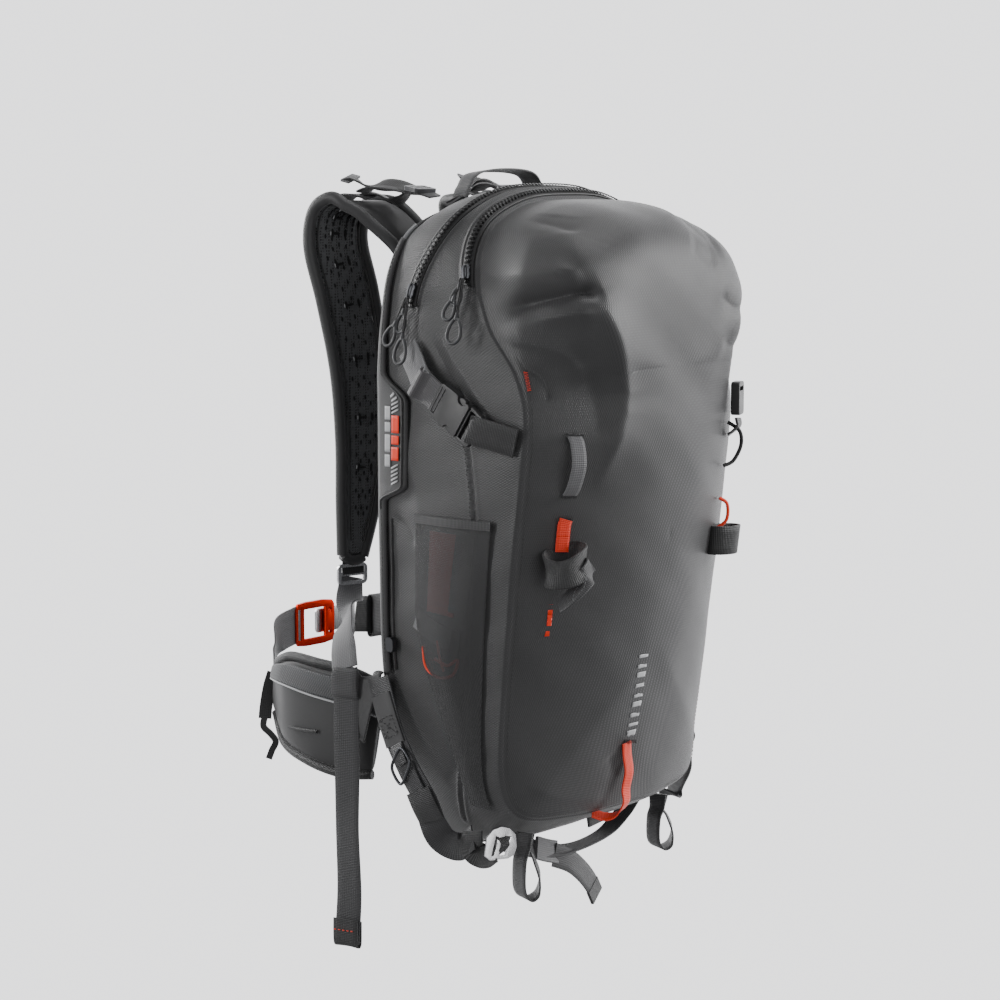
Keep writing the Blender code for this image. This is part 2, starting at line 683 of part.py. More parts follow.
def side_strap(prefix, side):
    """The upper compression strap: webbing, a side-release buckle and the short webbing at the front seam."""
    level = SIDE_BUCKLE_LIFT
    place = side_place(0.688, 0.42, level, side)
    place = place @ Matrix.Rotation(math.radians(-33), 4, "Z")
    along = place.to_3x3() @ Vector((1, 0, 0))
    across = place.to_3x3() @ Vector((0, 1, 0))
    centre = place.translation
    mouth = centre + along * BUCKLE_SLEEVE / 2
    tail_in = centre - along * (BUCKLE_SLEEVE / 2 - 0.003)

    sleeve = place @ Matrix(((0, 0, 1, 0), (1, 0, 0, 0), (0, 1, 0, 0), (0, 0, 0, 1)))
    outer = (BUCKLE_WIDTH, BUCKLE_HEIGHT)
    cavity = (BUCKLE_WIDTH - 2 * BUCKLE_WALL, BUCKLE_HEIGHT - 2 * BUCKLE_WALL)
    window_plate(prefix + "_buckle_female", outer, cavity, BUCKLE_SLEEVE, sleeve, "buckle_plastic", 0,
                 centre)

    half = cavity[0] / 2 - TOUCH_GAP
    body = BUCKLE_LENGTH - BUCKLE_SLEEVE
    outline = [(-PRONG_LENGTH, -half), (-PRONG_LENGTH, -half + 0.006), (0.001, -half + 0.007),
               (0.001, half - 0.007),
               (-PRONG_LENGTH, half - 0.006), (-PRONG_LENGTH, half), (0.0008, half),
               (0.0008, BUCKLE_WIDTH / 2),
               (body, BUCKLE_WIDTH / 2 - 0.002), (body, 0.002 - BUCKLE_WIDTH / 2),
               (0.0008, -BUCKLE_WIDTH / 2), (0.0008, -half)]
    male = Matrix.Translation(along * BUCKLE_SLEEVE / 2) @ place
    prism(prefix + "_buckle_male", outline, cavity[1] - 2 * TOUCH_GAP, male, "buckle_plastic", mouth)

    start = mirrored(on_gusset(station_at(0.775, 0.74), 0.74, 0.0042), side)
    middle = start.lerp(tail_in - along * BUCKLE_TRAVEL * 1.3, 0.5)
    rear = [start, middle, tail_in - along * BUCKLE_TRAVEL * 1.3, tail_in]
    sweep(prefix + "_upper_strap", smooth_path(rear, 13), across, SIDE_WEB, WEB_THICKNESS, "webbing",
          last=along)
    front = mouth + along * (body + TOUCH_GAP)
    seam = mirrored(on_gusset(station_at(0.648, 0.055), 0.055, 0.0034), side)
    sweep(prefix + "_lower_strap", smooth_path([front, front.lerp(seam, 0.5), seam], 5), across, SIDE_WEB,
          WEB_THICKNESS,
          "webbing", first=along)


def ski_strap(prefix, side):
    """The lower side strap with its hanging loops, and the flat hook on its end at the left."""
    stops = [(-0.1462, -0.004, 0.148), (-0.1480, -0.030, 0.085), (-0.1360, -0.058, 0.020),
             (-0.1290, -0.072, 0.004),
             (-0.1270, -0.086, 0.006), (-0.1270, -0.096, 0.010), (-0.1270, -0.106, 0.014)]
    if side == RIGHT:
        stops = [(-0.1462, -0.004, 0.148), (-0.1490, -0.040, 0.100), (-0.1530, -0.084, 0.072),
                 (-0.1525, -0.106, 0.056),
                 (-0.1430, -0.112, 0.032), (-0.1320, -0.114, 0.020), (-0.1230, -0.116, 0.014)]
    stops = [(HALF_WIDTH * x / 0.147, y, PACK_HEIGHT * z / 0.590) for x, y, z in stops]
    centres = [mirrored(p, side) for p in smooth_path(stops, 22)]
    across = []
    for k in range(22):
        share = smooth_step(0.35, 0.75, k / 21)
        across.append(mirrored(Vector((0.15, -0.85, 0.5)).lerp(Vector((1.0, 0.0, 0.1)), share), side))
    sweep(prefix + "_ski_strap", centres, across, LOOP_WEB, WEB_THICKNESS, "webbing")


def hanging_parts():
    """Tool loops under the base, the strap between them and the flat hook."""
    for prefix, side in (("left", LEFT), ("right", RIGHT)):
        top = mirrored(Vector((-0.667 * HALF_WIDTH, -0.775 * SEAM_DEPTH, AXE_LOOP_TOP)), side)
        half = AXE_LOOP_SPREAD / 2
        neck = WEB_THICKNESS / 2 + TOUCH_GAP
        shape = [(-neck, 0), (-neck * 1.5, -0.012), (-half, -0.4 * AXE_LOOP_DROP),
                 (-half, -0.85 * AXE_LOOP_DROP),
                 (-half * 0.6, -AXE_LOOP_DROP), (half * 0.6, -AXE_LOOP_DROP), (half, -0.85 * AXE_LOOP_DROP),
                 (half, -0.4 * AXE_LOOP_DROP), (neck * 1.5, -0.012), (neck, 0)]
        path = [top + Vector((x, 0, z)) for x, z in shape]
        sweep(prefix + "_axe_loop", smooth_path(path, 24), Vector((0, 1, 0)), LOOP_WEB, WEB_THICKNESS,
              "webbing", pivot=top)
    arc = [(-0.590, -0.600, 0.026), (-0.426, -0.620, 0.011), (-0.242, -0.620, -0.001),
           (-0.040, -0.622, -0.008),
           (0.180, -0.622, -0.009), (0.392, -0.622, -0.002), (0.560, -0.622, 0.014), (0.653, -0.622, 0.034)]
    arc = [(x * HALF_WIDTH, y * SEAM_DEPTH, z * PACK_HEIGHT) for x, y, z in arc]
    sweep("base_strap", smooth_path(arc, 16), Vector((0, 1, 0)), LOOP_WEB, WEB_THICKNESS, "webbing")
    place = frame_matrix(Vector((-0.86 * HALF_WIDTH, -0.119, 0.025)), Vector((0.96, -0.28, 0)),
                         Vector((0, 0.25, 0.97)))
    window_plate("flat_hook", (0.030, 0.026), (0.019, 0.012), 0.003, place, "bare_aluminium")


def pole_cord():
    """The elastic cord that holds a pole's shaft, a loop at the right side's front edge."""
    route = [(0.1545, -0.1290, 0.3640), (0.1610, -0.1300, 0.3635), (0.1680, -0.1310, 0.3570),
             (0.1705, -0.1320, 0.3450),
             (0.1685, -0.1330, 0.3330), (0.1620, -0.1340, 0.3270), (0.1545, -0.1345, 0.3265)]
    rod("pole_cord", smooth_path(route, 16), POLE_CORD / 2, "buckle_plastic")


def haul_loop():
    """Webbing arch over the top, sewn down at both ends."""
    reach = 0.92
    flat = [on_gusset(TOP_STATION - reach * k, 0.86, 0.0034) for k in (1.15, 1.0)]
    middle = on_gusset(TOP_STATION, 0.86, 0.0)
    rise = [Vector((flat[1].x * 0.90, middle.y, middle.z + 0.012)),
            Vector((flat[1].x * 0.66, middle.y, middle.z + 0.023))]
    left = flat + rise
    right = [Vector((-p.x, p.y, p.z)) for p in reversed(left)]
    top = [Vector((0, middle.y, middle.z + HAUL_RISE))]
    path = smooth_path(left + top + right, 26)
    across = [Vector((0, 1, -0.12 - 0.40 * smooth_step(0.6, 1.0, abs(p.x / flat[0].x)))) for p in path]
    sweep("haul_loop", path, across, LOOP_WEB, WEB_THICKNESS, "webbing")
    return Vector((0, middle.y, middle.z + HAUL_RISE - WEB_THICKNESS / 2))


# ---------------------------------------------------------------- shoulder harness

def shoulder_strap(prefix, side):
    """The padded arm from the yoke to the bend, the hanging strap, and the webbing that runs down to the pack."""
    slant = mirrored(Vector((0.966, -0.259, 0)), side)
    arm = [(-0.052, 0.0285, 0.523), (-0.060, 0.046, 0.551), (-0.072, 0.069, 0.574),
           (-0.0795, 0.0892, 0.5805)]
    arm = [mirrored(p, side) for p in smooth_path(arm, 8)]
    flat = mirrored(Vector((1, 0, 0)), side)
    turn = [flat.lerp(slant, k / 7) for k in range(8)]
    sweep(prefix + "_strap_arm", arm, turn, [0.056 + 0.009 * k / 7 for k in range(8)], SHOULDER_FOAM,
          "pad_mesh", PADDED,
          last=Vector((0, 1, 0)))

    bend = [(-0.0800, 0.0900, 0.5805), (-0.0830, 0.1000, 0.5780), (-0.0865, 0.1085, 0.5650),
            (-0.0865, 0.1100, 0.5400),
            (-0.0790, 0.1030, 0.4950), (-0.0710, 0.0960, 0.4300), (-0.0690, 0.0950, 0.3650),
            (-0.0730, 0.0970, 0.3050), (-0.0790, 0.0990, 0.2540)]
    centres = [mirrored(p, side) for p in smooth_path(bend, 22)]
    hinge = Vector((0, HARNESS_HINGE[0], HARNESS_HINGE[1]))
    widths = [SHOULDER_WIDTH * share for share in (0.93, 0.94, 0.95, 0.96, 0.95, 0.90, 0.80, 0.66, 0.45)]
    spread = [catmull_rom([Vector((w, 0, 0)) for w in widths], 8 * k / 21, False).x for k in range(22)]
    sweep(prefix + "_shoulder_strap", centres, slant, spread, SHOULDER_FOAM, "pad_mesh", PADDED, hinge,
          first=Vector((0, 1, 0)))

    lock_centre = mirrored(Vector((-0.0800, 0.0990, 0.2390)), side)
    lock_place = frame_matrix(lock_centre, slant, UP)
    window_plate(prefix + "_ladder_lock", (0.032, 0.020), (0.023, 0.009), 0.0036, lock_place,
                 "bare_aluminium", 0, hinge)

    anchor = [(-0.0815, 0.0960, 0.2260), (0.0350 - HALF_WIDTH, 0.0780, 0.2060),
              (0.0100 - HALF_WIDTH, 0.0590, 0.1820),
              (0.0030 - HALF_WIDTH, 0.0480, 0.1580), (0.0018 - HALF_WIDTH, 0.0360, 0.1390),
              (0.0012 - HALF_WIDTH, 0.0140, 0.1350)]
    centres = [mirrored(p, side) for p in smooth_path(anchor, 16)]
    low = mirrored(Vector((0.03, -0.15, 0.98)), side)
    across = [slant.lerp(low, smooth_step(0.30, 0.75, k / 15)) for k in range(16)]
    grow = [LOOP_WEB + 0.045 * smooth_step(0.66, 1.0, k / 15) for k in range(16)]
    sweep(prefix + "_anchor_strap", centres, across, grow, WEB_THICKNESS, "webbing",
          first=Vector((0, 0, -1)))

    tail_top = mirrored(Vector((-HALF_WIDTH - 0.0055, 0.0390, 0.1620)), side)
    length = TAIL_LENGTH if side == LEFT else SHORT_TAIL_LENGTH
    fall = [tail_top + Vector((0, 0, -length * k / 7)) for k in range(8)]
    flat_on = mirrored(Vector((0.20, -0.98, 0)), side)
    sweep(prefix + "_strap_tail", fall, flat_on, SIDE_WEB, WEB_THICKNESS, "webbing", pivot=tail_top)

    lifter = [(-0.062, 0.0110, 0.5870), (-0.066, 0.0280, 0.5910), (-0.072, 0.0480, 0.5960),
              (-0.077, 0.0660, 0.5960)]
    centres = [mirrored(p, side) for p in smooth_path(lifter, 10)]
    sweep(prefix + "_load_lifter", centres, flat, LOOP_WEB, WEB_THICKNESS, "webbing")


def sternum_strap():
    """Two short webbings and a small side-release buckle across the chest."""
    y, z = STERNUM_LEVEL
    hinge = Vector((0, HARNESS_HINGE[0], HARNESS_HINGE[1]))
    up = Vector((0, 0, 1))
    inner = 0.0110
    sweep("sternum_left_web", [Vector((-0.088, y, z)), Vector((-0.050, y, z)), Vector((-inner, y, z))], up,
          STERNUM_WEB,
          WEB_THICKNESS, "webbing", pivot=hinge)
    sweep("sternum_right_web", [Vector((inner, y, z)), Vector((0.050, y, z)), Vector((0.088, y, z))], up,
          STERNUM_WEB,
          WEB_THICKNESS, "webbing", pivot=hinge)
    face_y = y + WEB_THICKNESS / 2 + TOUCH_GAP
    height, wall, width, length = 0.0080, 0.0016, 0.026, 0.019
    level = face_y + height / 2
    sleeve = frame_matrix(Vector((-0.0075, level, z)), Vector((0, 0, 1)), Vector((0, 1, 0)))
    window_plate("sternum_female", (width, height), (width - 2 * wall, height - 2 * wall), length, sleeve,
                 "buckle_plastic", 0,
                 hinge)
    half = width / 2 - wall - TOUCH_GAP
    outline = [(-0.010, -half), (-0.010, -half + 0.005), (0.001, -half + 0.006), (0.001, half - 0.006),
               (-0.010, half - 0.005),
               (-0.010, half), (0.0008, half), (0.0008, width / 2), (0.014, width / 2), (0.014, -width / 2),
               (0.0008, -width / 2), (0.0008, -half)]
    origin = Vector((0.0020, level, z))
    place = frame_matrix(origin, Vector((1, 0, 0)), Vector((0, 0, 1)))
    prism("sternum_male", outline, height - 2 * wall - 2 * TOUCH_GAP, place, "buckle_plastic", origin)


def trigger():
    """The pull handle on the left shoulder strap. It comes down out of its sleeve."""
    place = frame_matrix(Vector(TRIGGER_CENTRE), Vector((0.966, -0.259, 0)), Vector((-0.12, 0.105, 1)))
    outline = [(-0.007, -0.040), (0.007, -0.040), (0.011, -0.034), (0.011, -0.006), (0.007, 0.000),
               (0.006, 0.040), (-0.006, 0.040),
               (-0.007, 0.000), (-0.011, -0.006), (-0.011, -0.034)]
    prism("trigger_handle", outline, 0.010, place, "orange_plastic", place.translation)


# ---------------------------------------------------------------- hip belt

def hip_belt():
    """Two padded wings with their webbing, closed by a frame and a hook. The closed belt tilts as one."""
    hinge = Vector((0, *BELT_HINGE))
    for prefix, side in (("left", LEFT), ("right", RIGHT)):
        wing = [(-0.1250, *BELT_HINGE), (-0.1330, 0.0560, 0.1120), (-0.1370, 0.0960, 0.1180),
                (-0.1310, 0.1340, 0.1240),
                (-0.1160, 0.1620, 0.1300)]
        centres = [mirrored(p, side) for p in smooth_path(wing, 12)]
        shares = [Vector((w, 0, 0)) for w in (0.84, 0.98, 0.96, 0.86, 0.52)]
        heights = [WING_HEIGHT * catmull_rom(shares, 4 * k / 11, False).x for k in range(12)]
        sweep(prefix + "_hip_wing", centres, UP, heights, WING_FOAM, "pad_mesh", PADDED, hinge)
        web = [(-0.1085, 0.1720, 0.1340), (-0.0940, 0.1890, 0.1500), (-0.0760, 0.2010, 0.1680),
               (-0.0490, WAIST_DEPTH, 0.1740)]
        if side == RIGHT:
            web[-1] = (-0.0410, WAIST_DEPTH + HOOK_STEP, 0.1740)
        centres = [mirrored(p, side) for p in smooth_path(web, 10)]
        sweep(prefix + "_belt_web", centres, UP, BELT_WEB, WEB_THICKNESS, "webbing", pivot=hinge,
              last=Vector((-side, 0, 0)))
    place = frame_matrix(Vector((-0.0215, WAIST_DEPTH, 0.1740)), Vector((1, 0, 0)), Vector((0, 0, 1)))
    window_plate("waist_buckle_frame", (0.054, 0.044), (0.032, 0.030), BUCKLE_PLATE, place, "red_aluminium",
                 0, hinge)
    outline = [(-0.028, -0.012), (0.006, -0.012), (0.010, -0.020), (0.026, -0.020), (0.026, 0.020),
               (0.010, 0.020), (0.006, 0.012),
               (-0.028, 0.012)]
    place = frame_matrix(Vector((0.0145, WAIST_DEPTH + HOOK_STEP, 0.1740)), Vector((1, 0, 0)),
                         Vector((0, 0, 1)))
    prism("waist_buckle_hook", outline, BUCKLE_PLATE, place, "bare_aluminium", place.translation)


# ---------------------------------------------------------------- whole pack

for old in list(bpy.data.objects):
    bpy.data.objects.remove(old, do_unlink=True)

front_panel()
band_panel("base_panel", -BASE_END, BASE_END, 22)
band_panel("left_side_panel", BASE_END, SIDE_END, 30)
band_panel("top_panel", SIDE_END, STATION_COUNT - SIDE_END, 58)
band_panel("right_side_panel", STATION_COUNT - SIDE_END, STATION_COUNT - BASE_END, 30)
back_pad()
frame_sheet()
inflation_system()
airbag_flap()
mesh_pocket()
pole_cord()
zips()
for prefix, side in (("left", LEFT), ("right", RIGHT)):
    side_strap(prefix, side)
    ski_strap(prefix, side)
    shoulder_strap(prefix, side)
sternum_strap()
trigger()
hip_belt()
hanging_parts()
hook_point = haul_loop()

for part in bpy.context.scene.objects:
    part.location -= hook_point
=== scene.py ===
# %% [markdown]
# # Avalanche airbag backpack
#
# A thirty litre ski touring pack with an electric airbag inside. The sewn body is coated polyester over a
# stiff back. On it are two zips, compression straps, a stretch pocket, carrying loops for skis and axes, a
# padded harness and a hip belt with a hook buckle.
#
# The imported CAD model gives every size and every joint. This lesson builds the cloth, the webbing and the
# plastics round it, piece by piece, and lets each piece ride on the body that it belongs to.

# %% Load the frame
import json
import math

import bmesh
import bpy
import numpy as np
from mathutils import Matrix, Vector

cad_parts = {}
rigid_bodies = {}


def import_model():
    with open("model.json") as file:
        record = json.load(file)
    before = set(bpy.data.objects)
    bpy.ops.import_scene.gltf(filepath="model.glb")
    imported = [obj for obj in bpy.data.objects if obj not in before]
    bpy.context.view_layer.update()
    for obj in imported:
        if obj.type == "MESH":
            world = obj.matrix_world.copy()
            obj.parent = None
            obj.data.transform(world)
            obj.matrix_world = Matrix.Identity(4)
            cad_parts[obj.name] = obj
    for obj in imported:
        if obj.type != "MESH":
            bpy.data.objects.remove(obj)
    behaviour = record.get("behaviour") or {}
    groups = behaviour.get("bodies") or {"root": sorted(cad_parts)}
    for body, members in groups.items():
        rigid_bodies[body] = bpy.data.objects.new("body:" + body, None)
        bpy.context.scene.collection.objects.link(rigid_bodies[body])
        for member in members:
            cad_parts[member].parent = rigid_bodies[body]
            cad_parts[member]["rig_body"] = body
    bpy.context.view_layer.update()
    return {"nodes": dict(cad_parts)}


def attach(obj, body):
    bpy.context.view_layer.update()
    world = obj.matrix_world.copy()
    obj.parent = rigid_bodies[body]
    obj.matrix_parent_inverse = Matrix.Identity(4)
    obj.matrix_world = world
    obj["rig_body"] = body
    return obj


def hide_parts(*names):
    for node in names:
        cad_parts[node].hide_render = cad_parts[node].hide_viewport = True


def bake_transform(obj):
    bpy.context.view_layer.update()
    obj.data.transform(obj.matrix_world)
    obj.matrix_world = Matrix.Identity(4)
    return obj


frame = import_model()
nodes = frame["nodes"]

# %% [markdown]
# ## Small helpers
#
# A material is a tree of nodes. One function adds a node, fills in its settings and makes its links, so
# each finish below reads as a recipe. Colours are written as the hex values a maker would pick from a card,
# and one function turns them to the linear numbers that light is worked out in.

# %% Nodes and colours
def linear(hex_colour):
    """A card colour such as #3a3b3d as linear RGBA."""
    channels = [int(hex_colour[i:i + 2], 16) / 255 for i in (1, 3, 5)]
    return (*[c / 12.92 if c <= 0.04045 else ((c + 0.055) / 1.055) ** 2.4 for c in channels], 1.0)


def add(tree, kind, settings=None, **links):
    """A node in tree. settings holds its properties, links its inputs: a value, or an output to link."""
    node = tree.nodes.new(kind)
    for name, value in (settings or {}).items():
        setattr(node, name, value)
    for name, value in links.items():
        key = int(name[1:]) if name[0] == "_" else name.replace("_", " ")
        socket = node.inputs[key]
        if isinstance(value, bpy.types.NodeSocket):
            tree.links.new(value, socket)
        else:
            socket.default_value = value
    return node


def new_finish(name, colour, roughness, metallic=0.0, **sockets):
    """A Principled material. Returns the material, its tree and its shader."""
    finish = bpy.data.materials.new(name)
    finish.use_nodes = True
    shader = finish.node_tree.nodes["Principled BSDF"]
    shader.inputs["Base Color"].default_value = linear(colour)
    shader.inputs["Roughness"].default_value = roughness
    shader.inputs["Metallic"].default_value = metallic
    for socket, value in sockets.items():
        shader.inputs[socket.replace("_", " ")].default_value = value
    return finish, finish.node_tree, shader


def tint(tree, shader, factor, dark, light):
    """Colours the surface from dark to light by a 0 to 1 factor."""
    mix = add(tree, "ShaderNodeMix", {"data_type": "RGBA"}, _0=factor, _6=linear(dark), _7=linear(light))
    tree.links.new(mix.outputs[2], shader.inputs["Base Color"])
    return mix


def relief(tree, shader, height, depth, strength=1.0):
    """Bump of this depth in metres."""
    bump = add(tree, "ShaderNodeBump", None, Strength=strength, Distance=depth, Height=height)
    tree.links.new(bump.outputs["Normal"], shader.inputs["Normal"])
    return bump


def sum_of(tree, operation, a, b, clamp=False):
    return add(tree, "ShaderNodeMath", {"operation": operation, "use_clamp": clamp}, _0=a, _1=b).outputs[0]


MM = 0.001
print("helpers ready")

# %% [markdown]
# ## Making pieces
#
# Cloth and webbing start as grids of points. A UV map in real metres goes on each grid, so a weave of so many
# millimetres a thread stays that size on a strap of any length and any curve.

# %% Mesh makers
def placed(points):
    """Points of the pack's own frame, with z = 0 at its base, moved to the row frame."""
    return np.asarray(points, float) - np.array(HOOK_LIFT)


def finish_mesh(name, points, faces, finish, uvs=None, sharp=40):
    """A mesh object from numpy points, faces and one UV for each point."""
    mesh = bpy.data.meshes.new(name)
    mesh.from_pydata([tuple(p) for p in points], [], [tuple(f) for f in faces])
    if uvs is not None:
        layer = mesh.uv_layers.new(name="metres")
        corner = np.empty(len(mesh.loops), int)
        mesh.loops.foreach_get("vertex_index", corner)
        layer.data.foreach_set("uv", np.asarray(uvs, float)[corner].ravel())
    mesh.validate()
    thing = bpy.data.objects.new(name, mesh)
    bpy.context.scene.collection.objects.link(thing)
    mesh.materials.append(finish)
    mesh.shade_smooth()
    mesh.set_sharp_from_angle(angle=math.radians(sharp))
    return thing


def grid_faces(rows, columns, ring=False, shift=0):
    span = columns if ring else columns - 1
    r, c = np.meshgrid(np.arange(rows - 1), np.arange(span), indexing="ij")
    d = (c + 1) % columns
    quads = np.stack([r * columns + c, r * columns + d, (r + 1) * columns + d, (r + 1) * columns + c], -1)
    return quads.reshape(-1, 4) + shift


def arc_lengths(grid, axis):
    """Distance in metres along a grid's rows (axis 0) or columns (axis 1), for UVs."""
    steps = np.linalg.norm(np.diff(grid, axis=axis), axis=-1)
    lengths = np.cumsum(steps, axis=axis)
    pad = [(1, 0), (0, 0)] if axis == 0 else [(0, 0), (1, 0)]
    return np.pad(lengths, pad)


def cloth_grid(name, grid, finish, body, wall=0.0, uvs=None, sharp=40):
    """A cloth surface over a grid of points of the pack's own frame. wall is its thickness, inwards."""
    grid = np.asarray(grid, float)
    rows, columns = grid.shape[:2]
    if uvs is None:
        uvs = np.stack([arc_lengths(grid, 1), arc_lengths(grid, 0)], -1)
    piece = finish_mesh(name, placed(grid.reshape(-1, 3)), grid_faces(rows, columns), finish,
                        uvs.reshape(-1, 2), sharp)
    if wall:
        solid = piece.modifiers.new("wall", "SOLIDIFY")
        solid.thickness = wall
        solid.offset = -1
    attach(piece, body)
    return piece


def curve_through(points, count, cyclic=False):
    """count points along a smooth curve through points, as an array."""
    points = np.asarray([tuple(p) for p in points], float)
    last = len(points) if cyclic else len(points) - 1
    s = np.linspace(0, last, count, endpoint=not cyclic)
    return spline_at(points, s, cyclic)


def spline_at(points, s, cyclic):
    """Points at parameters s on a smooth curve through points, one unit of s between two of them."""
    n = len(points)
    s = np.asarray(s, float)
    i = np.floor(s).astype(int)
    if not cyclic:
        i = np.clip(i, 0, n - 2)
    f = (s - i)[..., None]
    pick = (lambda k: points[k % n]) if cyclic else (lambda k: points[np.clip(k, 0, n - 1)])
    a, b, c, d = pick(i - 1), pick(i), pick(i + 1), pick(i + 2)
    return (2 * b + (c - a) * f + (2 * a - 5 * b + 4 * c - d) * f ** 2 + (3 * b - a - 3 * c + d) * f ** 3) / 2


def unit(v):
    return v / np.maximum(np.linalg.norm(v, axis=-1, keepdims=True), 1e-12)


def path_frames(path, across, cyclic=False):
    """For each point of a path: its direction, the width direction square to it, and the face direction."""
    if cyclic:
        ahead = unit(np.roll(path, -1, 0) - np.roll(path, 1, 0))
    else:
        ahead = unit(np.gradient(path, axis=0))
    across = np.broadcast_to(np.asarray(across, float), path.shape)
    side = unit(across - ahead * np.sum(across * ahead, -1, keepdims=True))
    return ahead, side, np.cross(ahead, side)


def strap(name, points, across, width, finish, body, thick=1.6 * MM, count=None, cyclic=False, resample=True,
          edge=0.35, own_frame=True):
    """Woven webbing: a flat band along a path, with rounded selvedges and UVs in metres.

    across is its width direction, or a list of them. width may be a list, spread along the path.
    """
    count = count or max(8, 4 * len(points))
    path = curve_through(points, count, cyclic) if resample else np.asarray([tuple(p) for p in points], float)
    count = len(path)
    across = np.atleast_2d(np.asarray([tuple(a) for a in across] if hasattr(across[0], "__len__") else across,
                                      float))
    if len(across) > 1:
        across = curve_through(across, count)
    _, side, up = path_frames(path, across, cyclic)
    width = np.atleast_1d(np.asarray(width, float))
    width = np.interp(np.linspace(0, 1, count), np.linspace(0, 1, len(width)),
                      width) if len(width) > 1 else np.full(count, width[0])
    profile = [(-0.5, -edge), (-0.485, -0.5), (-0.25, -0.5), (0, -0.5), (0.25, -0.5), (0.485, -0.5),
               (0.5, -edge),
               (0.5, edge), (0.485, 0.5), (0.25, 0.5), (0, 0.5), (-0.25, 0.5), (-0.485, 0.5), (-0.5, edge)]
    rings = [path + side * (u * width)[:, None] + up * (v * thick) for u, v in profile]
    grid = np.stack(rings, 1)
    n = len(profile)
    along = np.concatenate([[0], np.cumsum(np.linalg.norm(np.diff(path, axis=0), axis=1))])
    uvs = np.stack([np.outer(width, [u for u, v in profile]), np.repeat(along[:, None], n, 1)], -1)
    faces = [tuple(f) for f in grid_faces(count, n, ring=True)]
    if cyclic:
        faces += [((count - 1) * n + k, (count - 1) * n + (k + 1) % n, (k + 1) % n, k) for k in range(n)]
    else:
        faces += [tuple(range(n - 1, -1, -1)), tuple(range((count - 1) * n, count * n))]
    points = grid.reshape(-1, 3)
    piece = finish_mesh(name, placed(points) if own_frame else points, faces, finish, uvs.reshape(-1, 2), 50)
    if body:
        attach(piece, body)
    return piece


def tube(name, points, radius, finish, body, count=None, cyclic=False, sides=12, resample=True, flat=1.0,
         across=(0, 0, 1)):
    """A round or oval cord, piping or wire along a path, closed at its ends."""
    count = count or max(8, 6 * len(points))
    path = curve_through(points, count, cyclic) if resample else np.asarray([tuple(p) for p in points], float)
    count = len(path)
    if cyclic:
        ahead = unit(np.roll(path, -1, 0) - np.roll(path, 1, 0))
    else:
        ahead = unit(np.gradient(path, axis=0))
    side = np.empty_like(path)
    last = np.asarray(across, float)
    for i in range(count):
        last = last - ahead[i] * last.dot(ahead[i])
        if np.linalg.norm(last) < 1e-6:
            last = np.cross(ahead[i], (0.3, 0.9, 0.1))
        last = last / np.linalg.norm(last)
        side[i] = last
    up = np.cross(ahead, side)
    radius = np.broadcast_to(np.asarray(radius, float), (count,)) if np.ndim(radius) == 0 else np.interp(
        np.linspace(0, 1, count), np.linspace(0, 1, len(radius)), radius)
    turn = np.linspace(0, 2 * np.pi, sides, endpoint=False)
    rings = [path + side * (radius * np.cos(a))[:, None] + up * (radius * flat * np.sin(a))[:,
            None] for a in turn]
    grid = np.stack(rings, 1)
    along = np.concatenate([[0], np.cumsum(np.linalg.norm(np.diff(path, axis=0), axis=1))])
    uvs = np.stack([np.outer(radius, turn), np.repeat(along[:, None], sides, 1)], -1)
    faces = [tuple(f) for f in grid_faces(count, sides, ring=True)]
    if cyclic:
        faces += [((count - 1) * sides + k, (count - 1) * sides + (k + 1) % sides, (k + 1) % sides,
                   k) for k in range(sides)]
    else:
        faces += [tuple(range(sides - 1, -1, -1)), tuple(range((count - 1) * sides, count * sides))]
    piece = finish_mesh(name, placed(grid.reshape(-1, 3)), faces, finish, uvs.reshape(-1, 2), 60)
    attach(piece, body)
    return piece


def axes_at(origin, x_axis, y_axis):
    """A place whose local X and Y are as given, with local Z by the right-hand rule."""
    x_axis = Vector(x_axis).normalized()
    z_axis = x_axis.cross(Vector(y_axis)).normalized()
    basis = Matrix((x_axis, z_axis.cross(x_axis), z_axis)).transposed().to_4x4()
    return Matrix.Translation(Vector(origin)) @ basis


def moulded(name, outline, depth, place, finish, body, holes=(), bevel=0.6 * MM, segments=3):
    """A moulded or cut plate: an outline in local XY with holes, thickened about the middle and rounded off."""
    work = bmesh.new()
    loops = []
    for ring in (outline, *holes):
        verts = [work.verts.new((x, y, -depth / 2)) for x, y in ring]
        loops.append([work.edges.new((verts[k], verts[(k + 1) % len(verts)])) for k in range(len(verts))])
    bmesh.ops.triangle_fill(work, use_beauty=True, use_dissolve=True,
                            edges=[e for loop in loops for e in loop])
    flat = list(work.faces)
    grown = bmesh.ops.extrude_face_region(work, geom=flat)
    lifted = [g for g in grown["geom"] if isinstance(g, bmesh.types.BMVert)]
    bmesh.ops.translate(work, verts=lifted, vec=(0, 0, depth))
    bmesh.ops.recalc_face_normals(work, faces=work.faces)
    rims = [e for e in work.edges if e.is_manifold and e.calc_face_angle(0) > math.radians(60)
            and abs(e.verts[0].co.z - e.verts[1].co.z) < 1e-7]
    bmesh.ops.bevel(work, geom=rims, offset=bevel, segments=segments, affect="EDGES", profile=0.6,
                    clamp_overlap=True)
    bmesh.ops.transform(work, matrix=Matrix.Translation(-HOOK_LIFT) @ place, verts=work.verts)
    mesh = bpy.data.meshes.new(name)
    work.to_mesh(mesh)
    work.free()
    thing = bpy.data.objects.new(name, mesh)
    bpy.context.scene.collection.objects.link(thing)
    mesh.materials.append(finish)
    mesh.shade_smooth()
    mesh.set_sharp_from_angle(angle=math.radians(35))
    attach(thing, body)
    return thing


